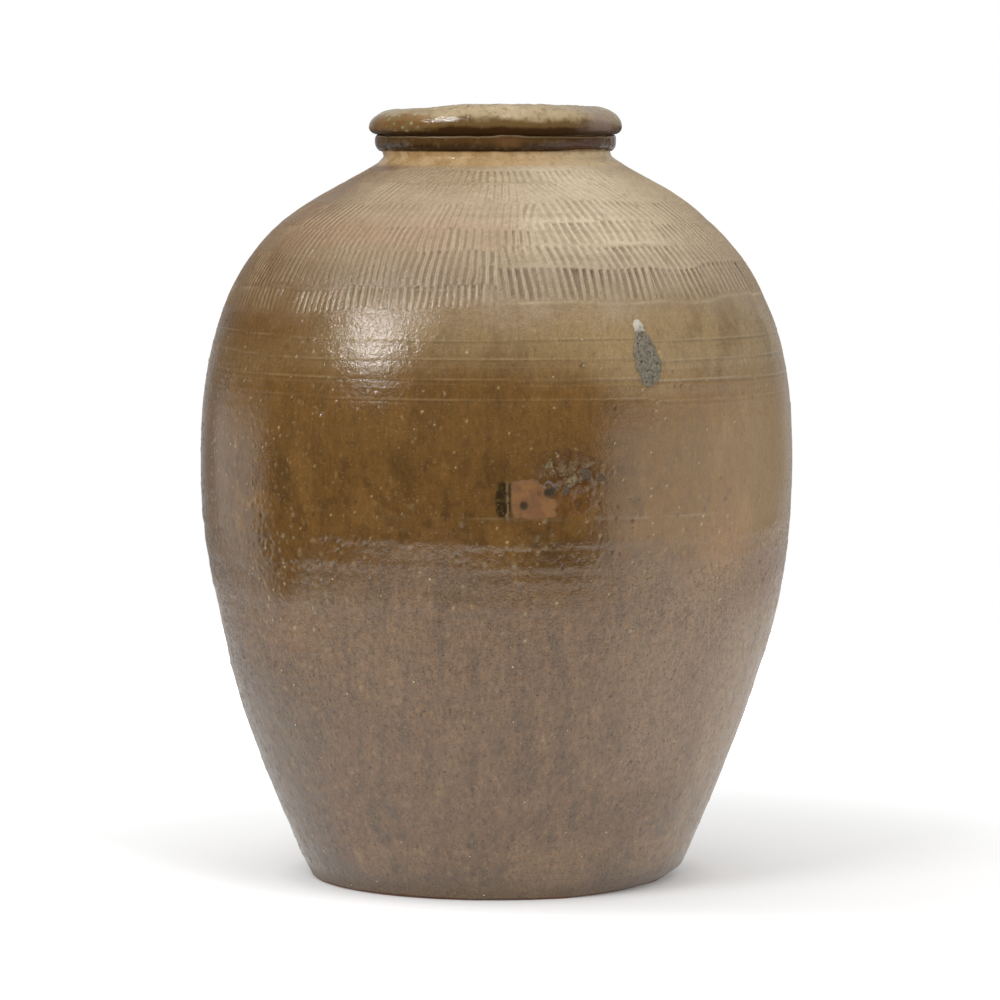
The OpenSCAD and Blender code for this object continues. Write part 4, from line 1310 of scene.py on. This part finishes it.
def build_neck():
    """The neck with its throat, the cordon laid round it, and the rim rolled over its top."""
    seam = RIM_Z + 0.8
    throat = THROAT_R + 0.6
    up = np.arange(588.0, seam + 3.5, 2.0)
    throat_wall = np.stack([np.full(len(up), throat), up], axis=1)[::-1]
    outside = [[92.4, 598.0], [92.8, 602.0], [92.8, 610.0], [92.8, seam]]
    under = [[throat + 3.0, 585.8], [86.6, 589.8]]
    loop = np.concatenate([outside, [[throat, seam + 4.0]], throat_wall, under])
    rough = np.concatenate([np.zeros(5), np.full(len(up), 0.5), [0.0, 0.0]])
    closed_ring("clay_neck", loop, 264, rough, "neck_collar")
    middle_z = (CORDON_Z0 + CORDON_Z1) / 2
    high = (CORDON_Z1 - CORDON_Z0) / 2 - 1.8
    a = np.radians(np.arange(0, 360, 20))
    cordon = np.stack([95.0 + 2.0 * np.cos(a), middle_z + high * np.sin(a)], axis=1)
    closed_ring("clay_cordon", cordon, 264, np.zeros(len(cordon)), "neck_cordon")
    r, z, nr, nz = on_outline(np.linspace(S_TOP - 62.0, S_TOP + 9.0, 60))
    skin = np.stack([r - 1.35 * nr, z - 1.35 * nz], axis=1)
    skin = skin[(z > RIM_Z + 1.0) & (r > THROAT_R + 1.0)]
    up = np.arange(seam + 4.2, JAR_H - 6.0, 2.0)
    throat_wall = np.stack([np.full(len(up), throat), up], axis=1)[::-1]
    loop = np.concatenate([[[93.0, seam + 0.2]], skin, throat_wall])
    rough = np.concatenate([np.zeros(len(skin) + 1), np.full(len(up), 0.5)])
    closed_ring("clay_rim", loop, 264, rough, "rim_roll")


# Kiln marks: outline of the slag drip, as height above its middle, centre across, half width
DRIP_ANGLE = math.radians(30.0)
DRIP_Z = 445.0
DRIP_SHAPE = np.array([
    [-27.6, 0.0, 0.6], [-25.5, -0.2, 5.0], [-22.0, 0.4, 8.0], [-17.0, 1.3, 10.6], [-10.0, 1.4, 11.2],
    [-3.0, 0.4, 10.4], [4.0, -0.2, 9.2], [9.0, -0.4, 7.6], [15.0, -1.6, 5.8], [20.0, -2.6, 5.2],
    [24.0, -3.2, 4.6], [26.6, -3.4, 2.8], [27.8, -3.4, 0.5],
])


def on_wall(angle, z, across, up, out):
    """Points on the glazed surface, from their distances across, up the wall and out of it."""
    r0 = float(np.interp(along_at(z), ALONG, OUTLINE[:, 0]))
    r, zz, nr, nz = on_outline(along_at(z) + up)
    return warped(place(angle + across / r0, r + out * nr, zz + out * nz))


def build_drip():
    """The slag drip: rows up its length, each a flat-backed dome as wide as the drip is there,
    swollen at the foot, lumpy, and pricked by burst bubbles."""
    rows, front, back = 130, 80, 16
    up = np.interp(np.linspace(0, 1, rows), np.linspace(0, 1, len(DRIP_SHAPE)), DRIP_SHAPE[:, 0])
    middle = np.interp(up, DRIP_SHAPE[:, 0], DRIP_SHAPE[:, 1])
    wide = np.interp(up, DRIP_SHAPE[:, 0], DRIP_SHAPE[:, 2])
    share = np.concatenate([np.linspace(-1, 1, front), np.linspace(1, -1, back + 2)[1:-1]])
    face = np.concatenate([np.ones(front), np.zeros(back)])
    u = up[:, None] + 0 * share
    wobble = 1.0 + 0.16 * noise(np.stack([u, 40 * np.sign(share) + 0 * u, 0 * u], -1), 6.0, 201)
    wobble += 0.08 * noise(np.stack([u, 40 * np.sign(share) + 0 * u, 0 * u], -1), 2.5, 206)
    across = middle[:, None] + share * wide[:, None] * wobble
    dome = np.sqrt(np.maximum(1.0 - share ** 2, 0.0)) ** 0.7
    swell = 1.5 + 1.5 * bell(u + 10.0, 16.0) + 0.9 * bell(u - 23.0, 5.0)
    height = dome * swell * np.minimum(wide[:, None] / 7.0, 1.0) ** 0.5
    spot = np.stack([across, u, 0 * u], -1)
    height += face * (0.6 * noise(spot, 4.2, 202) + 0.4 * noise(spot, 2.0, 203)) * dome
    rng = np.random.default_rng(204)
    for a, b, c in zip(rng.uniform(-11, 12, 90), rng.uniform(-26, 22, 90), rng.uniform(0.5, 1.2, 90)):
        height -= face * 1.2 * bell(np.hypot(across - a, u - b), c)
    height = np.where(face > 0, np.maximum(height, -0.3), -1.2)
    points, faces = capped_tube(on_wall(DRIP_ANGLE, DRIP_Z, across, u, height))
    tip = step(u + 2.0 * noise(spot, 3.0, 205), 16.5, 20.5).ravel() * 0.9
    obj = write_mesh("slag_drip_crust", points, faces, fields={"tip": np.append(tip, [0.0, 0.9])})
    finish_with(own(obj, "slag_drip"), slag_material)


# Lumps of crust: across and up from the middle of the scar, half width, height out, and hue
CRUST = [
    (11.0, 25.5, 3.2, 1.2, 0.02), (6.3, 19.5, 3.6, 1.1, 0.22), (14.0, 19.0, 2.6, 1.0, 0.08),
    (28.5, 18.5, 3.0, 1.2, 0.62), (32.0, 15.5, 3.0, 1.5, 0.02), (41.0, 18.2, 4.2, 1.5, 0.86),
    (52.5, 15.0, 2.6, 0.9, 0.90), (24.6, 6.5, 3.6, 1.3, 0.84), (29.0, 11.5, 3.0, 1.2, 0.05),
    (35.5, 5.5, 3.8, 1.2, 0.24), (26.0, 35.5, 3.0, 0.9, 0.40), (36.5, 32.5, 2.8, 0.9, 0.36),
    (31.0, 26.0, 2.4, 0.9, 0.55), (46.0, 30.0, 2.2, 0.7, 0.40), (20.0, 29.0, 2.2, 0.8, 0.30),
]


def build_crust():
    """The crust: lumps and crumbs, each a ball pressed flat on the glaze and made uneven."""
    rng = np.random.default_rng(211)
    lumps = list(CRUST)
    for _ in range(70):
        lumps.append((
            rng.normal(29.0, 12.0), rng.normal(19.0, 9.0), rng.uniform(0.7, 1.9),
            rng.uniform(0.35, 0.8), rng.uniform(0.0, 0.75),
        ))
    all_points, quads, tris, hues, start = [], [], [], [], 0
    for k, (across, up, wide, out, hue) in enumerate(lumps):
        rows, columns = (20, 32) if wide > 2 else (10, 16)
        lat = np.radians(np.linspace(-84, 84, rows))[:, None]
        lon = (2 * math.pi * np.arange(columns) / columns)[None, :]
        ball = np.stack([
            np.cos(lat) * np.cos(lon), np.cos(lat) * np.sin(lon), np.sin(lat) + 0 * lon,
        ], axis=-1)
        away = ball * 10 + 40 * k
        swell = 1.0 + 0.55 * noise(away, 8.0, 212) + 0.35 * noise(away, 3.5, 213)
        ball = ball * swell[..., None]
        grid = on_wall(
            SCAR_ANGLE, SCAR_Z, across + wide * ball[..., 0], up + wide * ball[..., 1],
            out * (0.05 + 0.55 * ball[..., 2]),
        )
        points, faces = capped_tube(grid)
        all_points.append(points)
        quads.append(faces[0] + start)
        tris.append(faces[1] + start)
        hues.append(np.full(len(points), hue))
        start += len(points)
    obj = write_mesh(
        "crust_lumps", np.concatenate(all_points), [np.concatenate(quads), np.concatenate(tris)],
        fields={"hue": np.concatenate(hues)},
    )
    finish_with(own(obj, "scar_crust"), crust_material)


# The stage and the add-on


class JarSettings(bpy.types.PropertyGroup):
    """Lights and colours that a user would change."""

    key_strength: FloatProperty(
        name="Key light", description="Power of the key softbox", default=15.5, unit="POWER"
    )
    glint_strength: FloatProperty(
        name="Low softbox", description="Power of the softboxes that the glaze mirrors",
        default=12.0, unit="POWER"
    )
    fill_strength: FloatProperty(
        name="Fill", description="Light that the white studio sends from every side", default=0.75
    )
    floor_colour: FloatVectorProperty(
        name="Floor", description="Colour of the paper", subtype="COLOR", size=3, default=(0.8, 0.8, 0.8)
    )


class JAR_OT_glaze(bpy.types.Operator):
    """Builds the bands of glaze over the jar"""

    bl_idname = "jar.glaze"
    bl_label = "Build the glaze"

    def execute(self, context):
        build_glaze()
        return {"FINISHED"}


class JAR_OT_clay(bpy.types.Operator):
    """Builds the clay lifts, coils, neck and rim under the glaze"""

    bl_idname = "jar.clay"
    bl_label = "Build the clay"

    def execute(self, context):
        build_clay()
        return {"FINISHED"}


class JAR_OT_marks(bpy.types.Operator):
    """Builds the slag drip and the crust beside the scar"""

    bl_idname = "jar.marks"
    bl_label = "Build the kiln marks"

    def execute(self, context):
        build_drip()
        build_crust()
        return {"FINISHED"}


def white_world(fill_strength):
    """The studio as a world: plain white to the camera, and an even light that is stronger from
    above for the jar's colours. Mirrored, it is a white ceiling, a grey room behind the jar and a
    dark one before it."""
    world = bpy.data.worlds.new("white_studio")
    tree = new_tree(world)
    way = add_node(tree, "TexCoord").outputs["Generated"]
    x, y, z = add_node(tree, "SeparateXYZ", {0: way}).outputs
    ceiling = add_node(tree, "MapRange", {
        "Value": z, "From Min": 0.62, "From Max": 0.85,
    }, interpolation_type="SMOOTHSTEP").outputs["Result"]
    back = add_node(tree, "Math", {0: x, 1: 0.4, 2: y}, operation="MULTIPLY_ADD").outputs[0]
    room = add_node(tree, "MapRange", {
        "Value": back, "From Min": 0.45, "From Max": 1.0, "To Min": 0.05, "To Max": 0.48,
    }, interpolation_type="SMOOTHSTEP").outputs["Result"]
    mirrored = add_node(tree, "Math", {0: ceiling, 1: room}, operation="MAXIMUM").outputs[0]
    even = add_node(tree, "Math", {0: z, 1: 0.30, 2: fill_strength}, operation="MULTIPLY_ADD").outputs[0]
    even = add_node(tree, "Math", {0: x, 1: 0.08, 2: even}, operation="MULTIPLY_ADD").outputs[0]
    ray = add_node(tree, "LightPath").outputs
    strength = add_node(
        tree, "Mix", {0: ray["Is Glossy Ray"], 2: even, 3: mirrored}, data_type="FLOAT"
    ).outputs[0]
    seen = add_node(
        tree, "Math", {0: ray["Is Camera Ray"], 1: ray["Is Transmission Ray"]}, operation="MAXIMUM"
    ).outputs[0]
    strength = add_node(tree, "Mix", {0: seen, 2: strength, 3: 1.0}, data_type="FLOAT").outputs[0]
    light = add_node(tree, "Background", {"Color": (1.0, 1.0, 1.0, 1.0), "Strength": strength})
    add_node(tree, "OutputWorld", {0: light.outputs[0]})
    return world


def paper_floor(colour):
    """White paper under the jar, to the edges that the glaze mirrors. It glows a little to the
    camera, more with the distance and in front, so that only the shadow is grey, and less at the
    foot's edge, where it paints a contact shadow; and to the glaze, less behind the jar."""
    points = np.array([[-720, -880, 0], [1300, -880, 0], [1300, 2000, 0], [-720, 2000, 0]], float)
    floor = write_mesh("studio_floor", points, np.array([[0, 1, 2, 3]]))
    material = bpy.data.materials.new("white_paper")
    tree = new_tree(material)
    where = add_node(tree, "TexCoord").outputs["Object"]
    away = add_node(tree, "VectorMath", {0: where}, operation="LENGTH").outputs["Value"]
    # The glow drops near the foot's edge: a painted contact shadow on the paper
    edge = add_node(tree, "MapRange", {
        "Value": away, "From Min": 0.150, "From Max": 0.185, "To Min": 0.6,
    }).outputs["Result"]
    back = add_node(tree, "SeparateXYZ", {0: where}).outputs[1]
    near = add_node(
        tree, "VectorMath", {0: where, 1: (-1.1, -1.8, 0.0)}, operation="DOT_PRODUCT"
    ).outputs["Value"]
    near = add_node(tree, "Math", {0: near, 1: 0.0}, operation="MAXIMUM").outputs[0]
    away = add_node(tree, "Math", {0: near, 1: away}, operation="ADD").outputs[0]
    glow = add_node(tree, "MapRange", {
        "Value": away, "From Min": 0.35, "From Max": 1.3, "To Min": 0.20, "To Max": 1.0,
    }, interpolation_type="SMOOTHSTEP").outputs["Result"]
    glow = add_node(tree, "Math", {0: glow, 1: edge}, operation="MULTIPLY").outputs[0]
    mirrored = add_node(tree, "MapRange", {
        "Value": back, "From Min": -0.1, "From Max": 0.3, "To Min": 0.45, "To Max": 0.15,
    }).outputs["Result"]
    ray = add_node(tree, "LightPath").outputs
    glow = add_node(tree, "Math", {0: glow, 1: ray["Is Camera Ray"]}, operation="MULTIPLY").outputs[0]
    glow = add_node(
        tree, "Math", {0: mirrored, 1: ray["Is Glossy Ray"], 2: glow}, operation="MULTIPLY_ADD"
    ).outputs[0]
    lit = add_node(tree, "BsdfDiffuse", {"Color": [*colour, 1.0]}).outputs[0]
    glowing = add_node(tree, "Emission", {"Color": (1.0, 1.0, 1.0, 1.0), "Strength": glow}).outputs[0]
    both = add_node(tree, "AddShader", {0: lit, 1: glowing}).outputs[0]
    add_node(tree, "OutputMaterial", {0: both})
    floor.data.materials.append(material)


# White boards that only the glaze mirrors, upright and facing across: the place in X, from and to
# in Y, the heights between which they fade, and the strengths before and behind two places in Y
BOARDS = (
    ("right_board", 1300.0, -1540.0, 1700.0, (0.36, 0.86), (1.0, 0.0), (0.35, 0.9)),
    ("left_board", -1100.0, 50.0, 1050.0, (0.30, 0.64), (0.88, 0.08), (0.70, 0.50)),
)


def mirrored_boards():
    """Makes the boards: flat, from 1 m below the floor's level to their tops."""
    for name, x, front, back, fade, start, end in BOARDS:
        top = fade[1] / MM
        points = np.array([[x, front, -1000], [x, back, -1000], [x, back, top], [x, front, top]], float)
        board = write_mesh(name, points, np.array([[0, 1, 2, 3]]))
        material = bpy.data.materials.new(name)
        tree = new_tree(material)
        where = add_node(tree, "TexCoord").outputs["Object"]
        _, y, z = add_node(tree, "SeparateXYZ", {0: where}).outputs
        glow = add_node(tree, "MapRange", {
            "Value": y, "From Min": start[1], "To Min": start[0], "From Max": end[1], "To Max": end[0],
        }).outputs["Result"]
        lower = add_node(tree, "MapRange", {
            "Value": z, "From Min": fade[1], "From Max": fade[0],
        }, interpolation_type="SMOOTHSTEP").outputs["Result"]
        glow = add_node(tree, "Math", {0: glow, 1: lower}, operation="MULTIPLY").outputs[0]
        white = add_node(tree, "Emission", {"Color": (1.0, 1.0, 1.0, 1.0), "Strength": glow})
        add_node(tree, "OutputMaterial", {0: white.outputs[0]})
        board.data.materials.append(material)
        board.visible_camera = False
        board.visible_diffuse = False
        board.visible_transmission = False
        board.visible_shadow = False


def area_light(name, azimuth, elevation, size, power, mirrored_by=None):
    """A softbox 2.2 m from the middle of the jar, facing it. It lights everything but isn't
    mirrored, or where a collection is given, it shows only as what the pieces in it mirror."""
    data = bpy.data.lights.new(name, "AREA")
    data.shape = "RECTANGLE"
    data.size, data.size_y = size
    data.energy = power
    obj = bpy.data.objects.new(name, data)
    bpy.context.scene.collection.objects.link(obj)
    a, e = math.radians(azimuth), math.radians(elevation)
    way = np.array([math.cos(e) * math.sin(a), -math.cos(e) * math.cos(a), math.sin(e)])
    obj.location = way * 2.2 + np.array([0, 0, 0.35])
    obj.rotation_euler = (math.radians(90) - e, 0, a)
    obj.visible_camera = False
    obj.visible_glossy = bool(mirrored_by)
    obj.visible_diffuse = not mirrored_by
    if mirrored_by:
        pieces = bpy.data.collections.new(name + "_pieces")
        for piece in mirrored_by:
            pieces.objects.link(bpy.data.objects[piece])
        obj.light_linking.receiver_collection = pieces
    return obj


class JAR_OT_stage(bpy.types.Operator):
    """Sets the white floor, the studio, the lamps and the camera"""

    bl_idname = "jar.stage"
    bl_label = "Set the stage"

    def execute(self, context):
        settings = context.scene.jar
        paper_floor(settings.floor_colour)
        context.scene.world = white_world(settings.fill_strength)
        mirrored_boards()
        glint = settings.glint_strength
        top = [band[0] for band in NECK_BANDS] + ["slag_drip_crust", "crust_lumps"]
        area_light("key_softbox", -31.0, 40.0, (0.8, 0.8), settings.key_strength)
        area_light("high_softbox", -58.0, 46.0, (0.22, 0.40), 2.5 * glint, top)
        area_light("low_softbox", -54.0, 32.5, (0.40, 0.54), 1.1 * glint, WALL_BANDS)
        area_light("dim_softbox", -48.0, 20.5, (0.60, 0.32), 0.17 * glint, WALL_BANDS)
        camera = bpy.data.cameras.new("camera")
        camera.lens = 180.9
        camera.sensor_width = 36.0
        view = bpy.data.objects.new("camera", camera)
        context.scene.collection.objects.link(view)
        view.location = (0.0025, -4.17, 0.64)
        view.rotation_euler = (math.radians(90.0 - 4.490), 0.0, 0.0)
        context.scene.camera = view
        context.scene.view_settings.view_transform = "Standard"
        return {"FINISHED"}


class JAR_PT_panel(bpy.types.Panel):
    """Lists the jar's operators"""

    bl_idname = "JAR_PT_panel"
    bl_label = "Martaban jar"
    bl_space_type = "VIEW_3D"
    bl_region_type = "UI"
    bl_category = "Jar"

    def draw(self, context):
        settings = context.scene.jar
        for name in settings.bl_rna.properties.keys():
            if name not in ("rna_type", "name"):
                self.layout.prop(settings, name)
        for made in OPERATORS:
            self.layout.operator(made.bl_idname)


OPERATORS = (JAR_OT_glaze, JAR_OT_clay, JAR_OT_marks, JAR_OT_stage)
CLASSES = (JarSettings, *OPERATORS, JAR_PT_panel)


def register():
    """Registers the classes and the settings."""
    for made in CLASSES:
        bpy.utils.register_class(made)
    bpy.types.Scene.jar = PointerProperty(type=JarSettings)


def unregister():
    """Removes the settings and the classes."""
    del bpy.types.Scene.jar
    for made in reversed(CLASSES):
        bpy.utils.unregister_class(made)


def main():
    """Builds the jar and its stage."""
    register()
    for made in OPERATORS:
        group, name = made.bl_idname.split(".")
        getattr(getattr(bpy.ops, group), name)()


if __name__ == "__main__":
    main()
